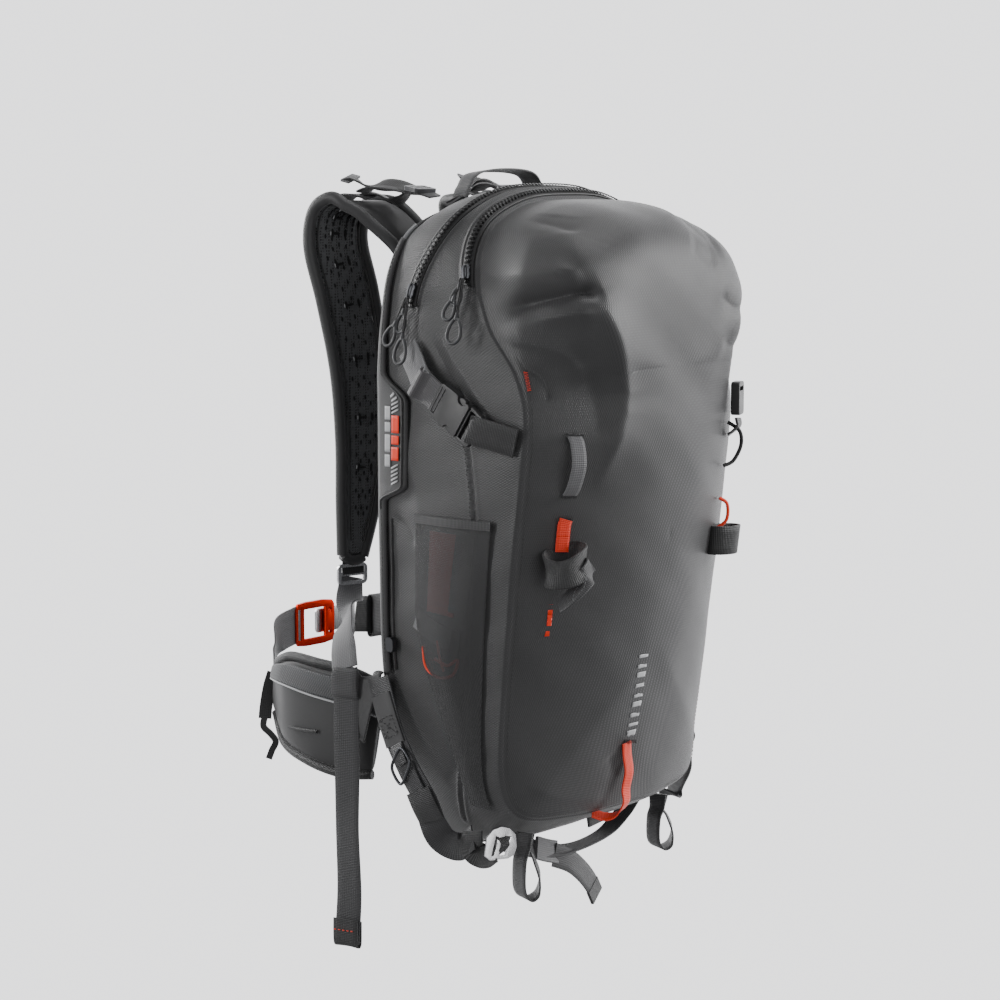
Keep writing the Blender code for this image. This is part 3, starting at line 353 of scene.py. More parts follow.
def rounded_outline(width, height, radius, steps=5, centre=(0, 0)):
    """A rectangle with round corners, as points."""
    points = []
    for k, (sx, sy) in enumerate(((1, 1), (-1, 1), (-1, -1), (1, -1))):
        for i in range(steps + 1):
            angle = math.pi / 2 * (k + i / steps)
            points.append((centre[0] + sx * (width / 2 - radius) + radius * math.cos(angle),
                           centre[1] + sy * (height / 2 - radius) + radius * math.sin(angle)))
    return points


def joined(name, pieces):
    """Several meshes on one body made one object."""
    with bpy.context.temp_override(active_object=pieces[0], selected_editable_objects=pieces,
                                   object=pieces[0]):
        bpy.ops.object.join()
    pieces[0].name = name
    return pieces[0]


print("mesh makers ready")

# %% [markdown]
# ## The pack's own skin
#
# The sewn body is one skin between two closed seams: one round the front panel and one round the wearer's
# side. A point on the band between them has a station s, counted round from the bottom centre up the left
# side, and a share t from the front seam to the back seam. The front panel runs from its middle line, r =
# 0, to its seam. These are the functions that the CAD model was drawn from, so everything sewn to the skin
# lies on it.

# %% Seams, side band and front panel
PACK_WIDTH, PACK_HEIGHT, SEAM_DEPTH = 0.294, 0.590, 0.160
HALF_WIDTH = PACK_WIDTH / 2
BULGE_TOP, BULGE_BASE = 0.055, 0.026
FRONT_STATIONS = (
    (0.00, -0.99, 0.078), (-0.48, -0.95, 0.078), (-0.84, -0.87, 0.092), (-0.96, -0.83, 0.160),
    (-0.99, -0.89, 0.330), (-1.00, -0.96, 0.500), (-1.00, -1.03, 0.665), (-0.98, -0.96, 0.740),
    (-0.95, -0.74, 0.812), (-0.89, -0.62, 0.890), (-0.73, -0.59, 0.952), (-0.40, -0.59, 0.987),
    (0.00, -0.59, 0.994),
)
BACK_STATIONS = (
    (0.00, -0.21, 0.002), (-0.37, -0.20, 0.004), (-0.63, -0.15, 0.030), (-0.82, -0.06, 0.125),
    (-0.95, 0.00, 0.268), (-0.98, 0.01, 0.470), (-0.975, 0.02, 0.670), (-0.97, 0.025, 0.740),
    (-0.94, 0.025, 0.812), (-0.87, 0.025, 0.884), (-0.70, 0.02, 0.941), (-0.38, 0.01, 0.972),
    (0.00, 0.01, 0.978),
)
TOP = len(FRONT_STATIONS) - 1
ROUND = 2 * TOP
LEFT, RIGHT = -1, 1


def closed_seam(stations):
    left = np.array(stations) * (HALF_WIDTH, SEAM_DEPTH, PACK_HEIGHT)
    return np.concatenate([left, left[-2:0:-1] * (-1, 1, 1)])


FRONT_SEAM, BACK_SEAM = closed_seam(FRONT_STATIONS), closed_seam(BACK_STATIONS)


def smooth_step(low, high, value):
    t = np.clip((np.asarray(value, float) - low) / (high - low), 0, 1)
    return t * t * (3 - 2 * t)


def band(s, t):
    """The band round the pack, from the front seam at t = 0 to the back seam at t = 1."""
    s, t = np.broadcast_arrays(np.asarray(s, float), np.asarray(t, float))
    front, back = spline_at(FRONT_SEAM, s, True), spline_at(BACK_SEAM, s, True)
    point = front + (back - front) * t[..., None]
    out = unit(np.stack([point[..., 0], 0 * t, point[..., 2] - PACK_HEIGHT / 2], -1))
    swell = 0.006 + 0.007 * smooth_step(0.86, 0.97, point[..., 2] / PACK_HEIGHT)
    return point + out * (swell * 4 * t * (1 - t))[..., None]


def front(s, r):
    """The front panel, from its middle line at r = 0 to the front seam at r = 1."""
    s, r = np.broadcast_arrays(np.asarray(s, float), np.asarray(r, float))
    seam = spline_at(FRONT_SEAM, s, True)
    boxy = smooth_step(0.70, 0.87, seam[..., 2] / PACK_HEIGHT)
    spine = np.clip(seam[..., 2], 0.34 * PACK_HEIGHT, 0.75 * PACK_HEIGHT)
    z = spine + (seam[..., 2] - spine) * r
    share = smooth_step(0.10, 0.68, z / PACK_HEIGHT)
    deepest = -SEAM_DEPTH * (0.97 + 0.03 * share) - BULGE_BASE - (BULGE_TOP - BULGE_BASE) * share
    rise = np.maximum(1 - r ** (2.2 + 4.3 * boxy), 0) ** (0.9 - 0.42 * boxy)
    return np.stack([seam[..., 0] * r, seam[..., 1] + (deepest - seam[..., 1]) * rise, z], -1)


def back(s, r):
    """The wearer's side, from the middle line at r = 0 to the back seam at r = 1."""
    s, r = np.broadcast_arrays(np.asarray(s, float), np.asarray(r, float))
    seam = spline_at(BACK_SEAM, s, True)
    spine = np.clip(seam[..., 2], 0.30 * PACK_HEIGHT, 0.75 * PACK_HEIGHT)
    return np.stack([seam[..., 0] * r, seam[..., 1] * r ** 2, spine + (seam[..., 2] - spine) * r], -1)


def skin_normal(surface, a, b, step=0.02):
    a, b = np.broadcast_arrays(np.asarray(a, float), np.asarray(b, float))
    along = surface(a + step, b) - surface(a - step, b)
    across = surface(a, np.clip(b + step, 0, 1)) - surface(a, np.clip(b - step, 0, 1))
    return unit(np.cross(along, across))


def on_band(s, t, lift=0.0):
    return band(s, t) + skin_normal(band, s, t) * np.asarray(lift, float)[..., None]


def station_at(height, t):
    """The station on the left side whose skin point at t has this share of the pack's height."""
    height, t = np.broadcast_arrays(np.asarray(height, float), np.asarray(t, float))
    low, high = np.full(height.shape, 1.0), np.full(height.shape, float(TOP))
    for _ in range(36):
        middle = (low + high) / 2
        below = band(middle, t)[..., 2] < height * PACK_HEIGHT
        low, high = np.where(below, middle, low), np.where(below, high, middle)
    return low


def mirrored(points, side):
    """Points given for the left side, on the side asked for."""
    return np.asarray(points, float) * (-side, 1, 1)


HAUL_RISE, WEB_THICKNESS = 0.026, 0.0016
arch_foot = on_band(TOP, 0.86)
HOOK_LIFT = Vector((0, arch_foot[1], arch_foot[2] + HAUL_RISE - WEB_THICKNESS / 2))
print("the row's origin is at", tuple(round(c, 5) for c in HOOK_LIFT), "in the pack's own frame")

# %% [markdown]
# ## Camera, stage and light
#
# The pack is seen from its left front, from a little above its middle, through a long lens that keeps its
# edges straight. The studio is a pale sweep. A large soft lamp at the right lights the front panel, the
# left side falls into shade, and two strips behind draw the bright edges of the straps and buckles.

# %% Camera
AIM = Vector((-0.0430, -0.0490, 0.3160)) - HOOK_LIFT
VIEW_AZIMUTH, VIEW_ELEVATION, VIEW_DISTANCE = math.radians(-50), math.radians(7), 2.45
eye = AIM + VIEW_DISTANCE * Vector((math.sin(VIEW_AZIMUTH) * math.cos(VIEW_ELEVATION),
                                    -math.cos(VIEW_AZIMUTH) * math.cos(VIEW_ELEVATION),
                                    math.sin(VIEW_ELEVATION)))
lens = bpy.data.cameras.new("studio_camera")
lens.lens, lens.sensor_width = 98, 36
camera = bpy.data.objects.new("studio_camera", lens)
bpy.context.scene.collection.objects.link(camera)
camera.location = eye
camera.rotation_euler = (AIM - eye).to_track_quat("-Z", "Y").to_euler()
bpy.context.scene.camera = camera
print("camera at", tuple(round(c, 3) for c in eye))

# %% Stage and lamps
paper = bpy.data.materials.new("lit_backdrop_paper")
paper.use_nodes = True
paper_shader = paper.node_tree.nodes["Principled BSDF"]
paper_shader.inputs["Base Color"].default_value = linear("#000000")
paper_shader.inputs["Specular IOR Level"].default_value = 0.0
paper_shader.inputs["Emission Color"].default_value = linear("#fdfdff")
paper_shader.inputs["Emission Strength"].default_value = 2.15
SWEEP_RADIUS, SWEEP_HALF_ANGLE = 4.2, math.radians(62)
sweep_turns = np.linspace(-SWEEP_HALF_ANGLE, SWEEP_HALF_ANGLE, 40) + VIEW_AZIMUTH + math.pi
sweep_levels = np.linspace(-2.6, 2.6, 12)
sweep = [tuple(AIM + SWEEP_RADIUS * Vector((math.sin(a), -math.cos(a), 0)) + Vector((0, 0, z)))
         for z in sweep_levels for a in sweep_turns]
backdrop = finish_mesh("studio_sweep", sweep, grid_faces(12, 40)[:, ::-1], paper)

world = bpy.data.worlds.new("studio")
bpy.context.scene.world = world
world.use_nodes = True
world.node_tree.nodes["Background"].inputs["Color"].default_value = linear("#e0e0e1")
world.node_tree.nodes["Background"].inputs["Strength"].default_value = 0.50


def soft_lamp(name, place, size, watts, aim=AIM, height=None):
    lamp = bpy.data.lights.new(name, "AREA")
    lamp.shape, lamp.size, lamp.size_y, lamp.energy = "RECTANGLE", size, height or size, watts
    thing = bpy.data.objects.new(name, lamp)
    bpy.context.scene.collection.objects.link(thing)
    thing.location = place
    thing.rotation_euler = (Vector(aim) - Vector(place)).to_track_quat("-Z", "Y").to_euler()
    return thing


soft_lamp("front_panel_lamp", AIM + Vector((2.0, -1.9, 0.8)), 0.8, 72, height=1.5)
soft_lamp("top_lamp", AIM + Vector((0.5, -0.3, 2.3)), 1.0, 16)
soft_lamp("camera_side_fill", AIM + Vector((-0.9, -2.4, 0.3)), 1.4, 12)
soft_lamp("strap_edge_lamp", AIM + Vector((-0.5, 2.3, 0.8)), 0.6, 34, height=1.6)
soft_lamp("left_rear_lamp", AIM + Vector((-2.0, 1.2, 0.5)), 0.5, 22, height=1.6)
print("stage and lamps set")

# %% [markdown]
# ## The elastic pole cord
#
# On the right side a loop of elastic cord holds a ski pole's shaft. It comes out of the front seam, bows out
# under its own springiness and goes back into the cloth. Its points are the same as in the CAD model.

# %% Pole cord
POLE_CORD = 0.0035
POLE_CORD_ROUTE = [(0.1545, -0.1290, 0.3640), (0.1610, -0.1300, 0.3635), (0.1680, -0.1310, 0.3570),
                   (0.1705, -0.1320, 0.3450), (0.1685, -0.1330, 0.3330), (0.1620, -0.1340, 0.3270),
                   (0.1545, -0.1345, 0.3265)]
elastic, elastic_tree, elastic_shader = new_finish("braided_elastic_cord", "#1f1f20", 0.62, Sheen_Weight=0.15)
braid = add(elastic_tree, "ShaderNodeTexWave", {"bands_direction": "DIAGONAL"}, Scale=1.0,
            Vector=add(elastic_tree, "ShaderNodeMapping", None, Scale=(900.0, 900.0, 900.0),
                       Vector=add(elastic_tree, "ShaderNodeTexCoord").outputs["Object"]).outputs[0])
relief(elastic_tree, elastic_shader, braid.outputs["Fac"], 0.25 * MM)
cord_line = placed(curve_through(POLE_CORD_ROUTE, 28))
cord_curve = bpy.data.curves.new("pole_cord_loop", "CURVE")
cord_curve.dimensions = "3D"
cord_curve.bevel_depth = POLE_CORD / 2
cord_curve.bevel_resolution = 3
cord_curve.use_fill_caps = True
cord_spline = cord_curve.splines.new("POLY")
cord_spline.points.add(len(cord_line) - 1)
for point, spot in zip(cord_spline.points, cord_line):
    point.co = (*spot, 1)
cord_curve.materials.append(elastic)
pole_cord = bpy.data.objects.new("pole_cord_loop", cord_curve)
bpy.context.scene.collection.objects.link(pole_cord)
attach(pole_cord, "pack")
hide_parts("pole_cord")

# %% [markdown]
# ## Finishes of cloth, webbing and mesh
#
# Most of the pack is polyester woven as a small staggered rib and coated behind, which gives it a dry sheen
# that brightens at a slant. The wearer's side is knitted spacer mesh. Webbing is woven nylon with ribs
# across it. Each weave is worked out from its thread spacing in millimetres. The finest are drawn a little
# coarser, as marked, so that they still show.

# %% Woven finishes
RIB_SPACING = 2.3 * MM        # real rib about 1 mm, drawn coarser to show
WEBBING_RIB = 1.5 * MM
MESH_CELL = 2.6 * MM
TWILL_LINE = 1.9 * MM


def metres(tree, scale, turn=0.0):
    """UV coordinates in metres, scaled so that one unit is one thread spacing."""
    uv = add(tree, "ShaderNodeUVMap", {"uv_map": "metres"})
    return add(tree, "ShaderNodeMapping", None, Vector=uv.outputs[0], Scale=scale,
               Rotation=(0, 0, turn)).outputs[0]


def waves(tree, vector, axis):
    """A sine from 0 to 1 along one axis, one wave for each unit."""
    part = add(tree, "ShaderNodeSeparateXYZ", None, Vector=vector).outputs[axis]
    wave = sum_of(tree, "SINE", sum_of(tree, "MULTIPLY", part, math.tau), 0.0)
    return add(tree, "ShaderNodeMath", {"operation": "MULTIPLY_ADD"}, _0=wave, _1=0.5, _2=0.5).outputs[0]


def staggered_rib(name, dark, light, roughness, spacing, depth, sheen=0.0, coords=None):
    """Woven cloth: ribs whose threads step by half at each row."""
    finish, tree, shader = new_finish(name, dark, roughness, Sheen_Weight=sheen, Sheen_Roughness=0.45)
    vector = metres(tree, (1 / spacing, 1 / spacing, 1.0)) if coords is None else coords(tree)
    split = add(tree, "ShaderNodeSeparateXYZ", None, Vector=vector)
    row = sum_of(tree, "SINE", sum_of(tree, "MULTIPLY", split.outputs[1], math.pi), 0.0)
    column = sum_of(tree, "SINE", sum_of(tree, "MULTIPLY", split.outputs[0], math.tau), 0.0)
    weave = sum_of(tree, "MULTIPLY", row, column)
    height = add(tree, "ShaderNodeMath", {"operation": "MULTIPLY_ADD"}, _0=weave, _1=0.5, _2=0.5).outputs[0]
    patches = add(tree, "ShaderNodeTexNoise", None, Scale=26.0, Detail=3.0,
                  Vector=add(tree, "ShaderNodeTexCoord").outputs["Object"])
    shade = sum_of(tree, "ADD", sum_of(tree, "MULTIPLY", height, 0.62),
                   sum_of(tree, "MULTIPLY", patches.outputs["Fac"], 0.38))
    tint(tree, shader, shade, dark, light)
    fuzz = add(tree, "ShaderNodeTexNoise", None, Scale=900.0, Detail=2.0,
               Vector=add(tree, "ShaderNodeTexCoord").outputs["Object"])
    surface = sum_of(tree, "ADD", height, sum_of(tree, "MULTIPLY", fuzz.outputs["Fac"], 0.35))
    relief(tree, shader, surface, depth)
    rough = add(tree, "ShaderNodeMapRange", None, Value=patches.outputs["Fac"], _3=roughness - 0.05,
                _4=roughness + 0.06)
    tree.links.new(rough.outputs[0], shader.inputs["Roughness"])
    return finish


coated_cloth = staggered_rib("coated_ribbed_polyester", "#2e2e2f", "#424243", 0.44, RIB_SPACING, 0.22 * MM,
                             0.20)
smooth_cloth = staggered_rib("coated_plain_polyester", "#323233", "#3d3d3e", 0.46, 1.1 * MM, 0.08 * MM, 0.20)


def webbing_finish(name, dark, light, roughness=0.50):
    finish, tree, shader = new_finish(name, dark, roughness, Sheen_Weight=0.15)
    ribs = waves(tree, metres(tree, (1 / WEBBING_RIB, 1 / WEBBING_RIB, 1.0)), 1)
    threads = waves(tree, metres(tree, (1 / (1.9 * MM), 1 / (1.9 * MM), 1.0)), 0)
    height = sum_of(tree, "ADD", sum_of(tree, "MULTIPLY", ribs, 0.7), sum_of(tree, "MULTIPLY", threads, 0.3))
    tint(tree, shader, height, dark, light)
    relief(tree, shader, height, 0.30 * MM)
    return finish


grey_webbing = webbing_finish("woven_nylon_webbing_grey", "#2b2b2c", "#48484a")
# A lighter copy of the grey webbing: painted light, standing in for webbing lit by the lamps.
lit_grey_webbing = webbing_finish("woven_nylon_webbing_painted_lit_grey", "#58585a", "#7b7b7d")
dark_webbing = webbing_finish("woven_nylon_webbing_dark", "#1e1e1f", "#333334")
orange_webbing = webbing_finish("woven_polyester_webbing_orange", "#e62c00", "#ff3c05")
binding = webbing_finish("grosgrain_binding_tape", "#262627", "#3a3a3b", 0.50)


def knitted_mesh(name, dark, light, cell, open_share, depth):
    """Spacer mesh: rows of small openings staggered between knitted ribs, on the object's own coordinates."""
    finish, tree, shader = new_finish(name, dark, 0.78, Sheen_Weight=0.3)
    spot = add(tree, "ShaderNodeTexCoord").outputs["Object"]
    cells = add(tree, "ShaderNodeTexVoronoi", {"feature": "F1"}, Vector=spot, Scale=1 / cell, Randomness=0.25)
    wall = add(tree, "ShaderNodeMapRange", None, Value=cells.outputs["Distance"], _1=open_share * 0.6,
               _2=open_share)
    rib = add(tree, "ShaderNodeTexWave", {"bands_direction": "Z"}, Vector=spot, Scale=0.5 / (1.4 * MM) / 3.2)
    height = sum_of(tree, "ADD", wall.outputs[0], sum_of(tree, "MULTIPLY", rib.outputs["Fac"], 0.3))
    tint(tree, shader, wall.outputs[0], dark, light)
    relief(tree, shader, height, depth)
    return finish


pad_mesh = knitted_mesh("knitted_spacer_mesh", "#242425", "#525355", MESH_CELL, 0.42, 0.5 * MM)
print("woven finishes made")

# %% [markdown]
# ## Stretch mesh of the side pocket
#
# The pocket is a thin knit with a diagonal line in it. What is inside shows through, so the finish lets
# part of the light pass by an alpha that is the same all over.

# %% Stretch knit, thread and prints
stretch_knit, knit_tree, knit_shader = new_finish("stretch_twill_knit", "#2c2c2d", 0.55, Sheen_Weight=0.1)
lines = waves(knit_tree, metres(knit_tree, (1 / TWILL_LINE, 1 / TWILL_LINE, 1.0), math.radians(38)), 0)
tint(knit_tree, knit_shader, lines, "#2c2c2d", "#3c3c3d")
relief(knit_tree, knit_shader, lines, 0.25 * MM)
knit_shader.inputs["Alpha"].default_value = 0.62


def plain_thread(name, colour):
    finish, tree, shader = new_finish(name, colour, 0.55, Sheen_Weight=0.3)
    twist = add(tree, "ShaderNodeTexNoise", None, Scale=1400.0,
                Vector=add(tree, "ShaderNodeTexCoord").outputs["Object"])
    relief(tree, shader, twist.outputs["Fac"], 0.15 * MM)
    return finish


grey_thread = plain_thread("bonded_nylon_thread_grey", "#6b6c6e")
dark_thread = plain_thread("bonded_nylon_thread_dark", "#232324")
orange_thread = plain_thread("bonded_nylon_thread_orange", "#ff3800")


def print_ink(name, colour):
    finish, tree, shader = new_finish(name, colour, 0.42)
    grain = add(tree, "ShaderNodeTexNoise", None, Scale=700.0,
                Vector=add(tree, "ShaderNodeTexCoord").outputs["Object"])
    relief(tree, shader, grain.outputs["Fac"], 0.05 * MM)
    return finish


orange_ink = print_ink("screen_print_orange", "#ff3600")
light_ink = print_ink("screen_print_light_grey", "#b9babc")
# A glossy trim whose light grey is a painted highlight along the flap's back edge.
highlight_trim, trim_tree, trim_shader = new_finish("glossy_trim_painted_highlight", "#8b8c8e", 0.28)
relief(trim_tree, trim_shader, add(trim_tree, "ShaderNodeTexNoise", None, Scale=160.0,
       Vector=add(trim_tree, "ShaderNodeTexCoord").outputs["Object"]).outputs["Fac"], 0.1 * MM)
print("knit, threads and inks made")

# %% [markdown]
# ## Plastics and metals
#
# Buckles are moulded acetal, satin with a faint grain. Sliders are painted zinc. The belt buckle is red
# anodised aluminium, and its hook, the ladder locks and the flat hook are bare aluminium with brushing in
# them.

# %% Plastic and metal finishes
def moulded_plastic(name, colour, roughness, grain=0.06 * MM):
    finish, tree, shader = new_finish(name, colour, roughness)
    spot = add(tree, "ShaderNodeTexCoord").outputs["Object"]
    spark = add(tree, "ShaderNodeTexNoise", None, Scale=1 / (0.9 * MM), Detail=3.0, Vector=spot)
    wear = add(tree, "ShaderNodeTexNoise", None, Scale=60.0, Detail=2.0, Vector=spot)
    rough = add(tree, "ShaderNodeMapRange", None, Value=wear.outputs["Fac"], _3=roughness - 0.06,
                _4=roughness + 0.08)
    tree.links.new(rough.outputs[0], shader.inputs["Roughness"])
    relief(tree, shader, spark.outputs["Fac"], grain)
    return finish


acetal = moulded_plastic("moulded_acetal_black", "#2b2b2c", 0.38)
grey_acetal = moulded_plastic("moulded_acetal_grey", "#47474a", 0.34)
soft_pull = moulded_plastic("moulded_rubber_pull", "#3d3e40", 0.40)
orange_acetal = moulded_plastic("moulded_acetal_orange", "#f03800", 0.36)
housing_abs = moulded_plastic("moulded_abs_housing", "#37383a", 0.50, 0.1 * MM)
polythene = moulded_plastic("extruded_polythene_sheet", "#cfcfca", 0.48, 0.08 * MM)


def brushed_metal(name, colour, roughness, brush=0.35 * MM):
    finish, tree, shader = new_finish(name, colour, roughness, 1.0)
    spot = add(tree, "ShaderNodeTexCoord").outputs["Object"]
    streak = add(tree, "ShaderNodeTexNoise", None, Scale=1.0, Detail=2.0, Vector=add(
        tree, "ShaderNodeMapping", None, Vector=spot, Scale=(1 / brush, 1 / brush, 60.0)).outputs[0])
    rough = add(tree, "ShaderNodeMapRange", None, Value=streak.outputs["Fac"], _3=roughness - 0.08,
                _4=roughness + 0.12)
    tree.links.new(rough.outputs[0], shader.inputs["Roughness"])
    relief(tree, shader, streak.outputs["Fac"], 0.03 * MM)
    return finish


bare_aluminium = brushed_metal("brushed_aluminium", "#dcdcde", 0.26)
red_aluminium = brushed_metal("anodised_aluminium_red", "#d82a0c", 0.34)
slider_zinc = brushed_metal("painted_zinc_slider", "#57585b", 0.36)
ripstop = staggered_rib("ripstop_airbag_nylon", "#d6431c", "#f0592b", 0.45, 5 * MM, 0.10 * MM, 0.1,
                        coords=lambda tree: add(tree, "ShaderNodeMapping", None, Scale=(200.0, 200.0, 200.0),
                                                Vector=add(tree, "ShaderNodeTexCoord").outputs["Object"]).outputs[0])
print("plastic and metal finishes made")


def repaint(node, finish):
    """Gives a CAD node that keeps its own shape this finish."""
    thing = nodes[node]
    for held in thing.material_slots:
        held.material = finish

# %% [markdown]
# ## Folds and seams of the sewn skin
#
# A pack that is stuffed and hung keeps soft ridges where the load presses out and sharp valleys where cloth
# buckles between seams. Each one here is a line on the panel with a width and a height. The skin is moved
# along its normal near that line, as a hand would pinch it, so the folds are real shape and not a picture.

# %% Fold tools
def near_line(flat, line):
    """Distance of flat points to a line of points, and how far along it they are from 0 to 1."""
    line = np.asarray(line, float)
    steps = np.linalg.norm(np.diff(line, axis=0), axis=1)
    starts = np.concatenate([[0], np.cumsum(steps)]) / steps.sum()
    best = np.full(flat.shape[:-1], 1e9)
    share = np.zeros_like(best)
    for a, b, u0, u1 in zip(line, line[1:], starts, starts[1:]):
        d = b - a
        f = np.clip((flat - a) @ d / (d @ d), 0, 1)
        gap = flat - (a + f[..., None] * d)
        far = np.linalg.norm(gap, axis=-1)
        closer = far < best
        best = np.where(closer, far, best)
        share = np.where(closer, u0 + (u1 - u0) * f, share)
    return best, share


def fold(flat, line, width, height, soft=0.18, fade=0.25):
    """A ridge (height above 0) or valley (below 0) along a smooth line, sharp in the middle and faded at its ends."""
    far, share = near_line(flat, curve_through([(*p, 0) for p in line], 24)[:, :2])
    crest = np.exp(-(np.sqrt(far ** 2 + (soft * width) ** 2) - soft * width) / width)
    ends = smooth_step(0, fade, share) * smooth_step(0, fade, 1 - share)
    return height * crest * ends


def drape(points, size, height):
    """Gentle unevenness of stuffed cloth: a few slow waves that cross."""
    x, y, z = (points[..., k] / size for k in range(3))
    return height * (np.sin(3.1 * x + 1.7 * z + 0.4) * np.sin(2.3 * z - 1.1 * y + 1.2) + 0.6
                     * np.sin(5.3 * z + 2.9 * x + 2.2)
                     * np.sin(4.1 * x - 2.7 * y + 0.7) + 0.35 * np.sin(9.1 * x + 4.0 * z)
                     * np.sin(7.7 * z + 1.9 * y))


SEAM_GROOVE, SEAM_WIDTH = 1.3 * MM, 2.0 * MM


def seam_normal(s):
    return unit(skin_normal(front, s, 0.985) + skin_normal(band, s, 0.01))


# Ridges and valleys on the front panel, as (x, z) lines: line, width, height.
FRONT_FOLDS = (
    (((-0.086, 0.580), (-0.098, 0.556), (-0.106, 0.534), (-0.114, 0.509), (-0.101, 0.4945), (-0.084, 0.4645),
      (-0.0690, 0.420),
      (-0.082, 0.368), (-0.094, 0.330)), 0.016, 0.0105),
    (((-0.150, 0.484), (-0.1381, 0.4930), (-0.1290, 0.5020), (-0.1160, 0.5075), (-0.0960, 0.5100)), 0.0070,
     -0.0130),
    (((-0.146, 0.462), (-0.136, 0.482), (-0.120, 0.491), (-0.100, 0.494)), 0.0085, 0.0060),
    (((-0.146, 0.515), (-0.136, 0.520), (-0.122, 0.523), (-0.106, 0.524)), 0.0085, 0.0050),
    (((-0.092, 0.580), (-0.094, 0.570), (-0.090, 0.556)), 0.0100, -0.0030),
    (((-0.140, 0.440), (-0.1365, 0.4435), (-0.1300, 0.4320), (-0.1312, 0.4160)), 0.0034, -0.0024),
    (((-0.150, 0.462), (-0.138, 0.466), (-0.118, 0.455), (-0.100, 0.432)), 0.010, 0.0036),
    (((-0.120, 0.470), (-0.108, 0.448), (-0.094, 0.416), (-0.092, 0.380)), 0.012, -0.0032),
    (((0.030, 0.552), (0.050, 0.535), (0.068, 0.530)), 0.012, -0.0020),
    (((0.048, 0.578), (0.060, 0.556), (0.086, 0.546)), 0.016, -0.0028),
    (((0.062, 0.505), (0.092, 0.488), (0.124, 0.492)), 0.011, -0.0042),
    (((0.062, 0.464), (0.096, 0.455), (0.132, 0.468)), 0.011, -0.0036),
    (((0.088, 0.574), (0.104, 0.548), (0.112, 0.510), (0.098, 0.480), (0.088, 0.430), (0.095, 0.380)), 0.018,
     0.0062),
    (((0.140, 0.487), (0.130, 0.498), (0.112, 0.508)), 0.0070, -0.0045),
    (((-0.128, 0.085), (-0.080, 0.064), (-0.020, 0.056)), 0.010, 0.0016),
    (((-0.040, 0.100), (-0.030, 0.085), (-0.018, 0.078)), 0.006, -0.0012),
)


def front_shape(s, r):
    """The front panel with its folds, and the groove where it is sewn to the side band."""
    base = front(s, r)
    flat = base[..., [0, 2]]
    move = drape(base, 0.085, 0.0005)
    for line, width, height in FRONT_FOLDS:
        move = move + fold(flat, line, width, height)
    reach = (1 - r) * np.linalg.norm(flat - np.array([0, 0.5 * PACK_HEIGHT]), axis=-1)
    move = move * smooth_step(0, 0.008, reach)
    point = base + skin_normal(front, s, np.minimum(r, 0.985)) * move[..., None]
    return point - seam_normal(s) * (SEAM_GROOVE * np.exp(-(reach / SEAM_WIDTH) ** 2))[..., None]


print(len(FRONT_FOLDS), "folds on the front panel")

# %% Front panel
turn = np.linspace(0, ROUND, 601)[:-1]
out = np.concatenate([np.linspace(0, 0.80, 62)[:-1], np.linspace(0.80, 0.97, 30)[:-1],
                      np.linspace(0.97, 1.0, 14)])
s_grid, r_grid = np.meshgrid(turn, out, indexing="xy")
skin = front_shape(s_grid, r_grid)
spread = np.maximum(skin[..., 1] + SEAM_DEPTH + BULGE_TOP, 0)
front_uv = np.stack([skin[..., 0] + np.sign(skin[..., 0]) * 0.8 * spread * smooth_step(0.03, 0.13,
        abs(skin[..., 0])),
                     skin[..., 2] + 0.8 * spread * smooth_step(0.50, 0.58, skin[..., 2])], -1)
front_panel = finish_mesh("front_panel_cloth", placed(skin.reshape(-1, 3)),
                          grid_faces(*skin.shape[:2], ring=True),
                          coated_cloth, front_uv.reshape(-1, 2))
work = bmesh.new()
work.from_mesh(front_panel.data)
bmesh.ops.remove_doubles(work, verts=work.verts, dist=2e-5)
bmesh.ops.recalc_face_normals(work, faces=work.faces)
work.to_mesh(front_panel.data)
work.free()
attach(front_panel, "pack")
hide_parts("front_panel")
print("front panel", len(front_panel.data.polygons), "faces")

# %% [markdown]
# ## The band round the sides, top and base
#
# The side panel carries the zips, a vertical seam and a long diagonal fold above the compression strap. The
# cloth stands up in two lips beside each zip. Both zip lines are worked out from how far a station is from
# the top.

# %% Side band
MAIN_ZIP_START = float(station_at(0.835, 0.70))
POCKET_ZIP_START = float(station_at(0.868, 0.10))
ZIP_WIDTH, ZIP_THICKNESS, TAPE_LIFT = 0.011, 0.0012, 0.0010
LIP_REACH, LIP_WIDTH, LIP_RISE = 0.0072, 0.0017, 0.0017


def main_zip_line(s):
    return 0.34 + 0.36 * smooth_step(1.6, 3.9, np.abs(np.asarray(s, float) - TOP))


def pocket_zip_line(s):
    return np.full(np.shape(s), 0.10)


# Lines on the left side panel as (y, z): the vertical seam, then folds as line, width, height.
SIDE_SEAM = ((-0.098, 0.392), (-0.1060, 0.365), (-0.1112, 0.310), (-0.1050, 0.240), (-0.0990, 0.165),
             (-0.0820, 0.080),
             (-0.0720, 0.040))
SIDE_FOLDS = (
    (((-0.060, 0.478), (-0.088, 0.446), (-0.115, 0.418), (-0.150, 0.385)), 0.0080, 0.0022),
    (((-0.052, 0.472), (-0.080, 0.437), (-0.110, 0.405)), 0.0060, -0.0018),
    (((-0.010, 0.400), (-0.040, 0.345), (-0.052, 0.290), (-0.046, 0.200)), 0.0150, 0.0022),
    (((-0.012, 0.310), (-0.032, 0.300), (-0.046, 0.282)), 0.0045, -0.0022),
    (((-0.120, 0.500), (-0.105, 0.520), (-0.090, 0.560)), 0.012, 0.0020),
    (((-0.060, 0.070), (-0.090, 0.100), (-0.130, 0.110)), 0.012, -0.0018),
)


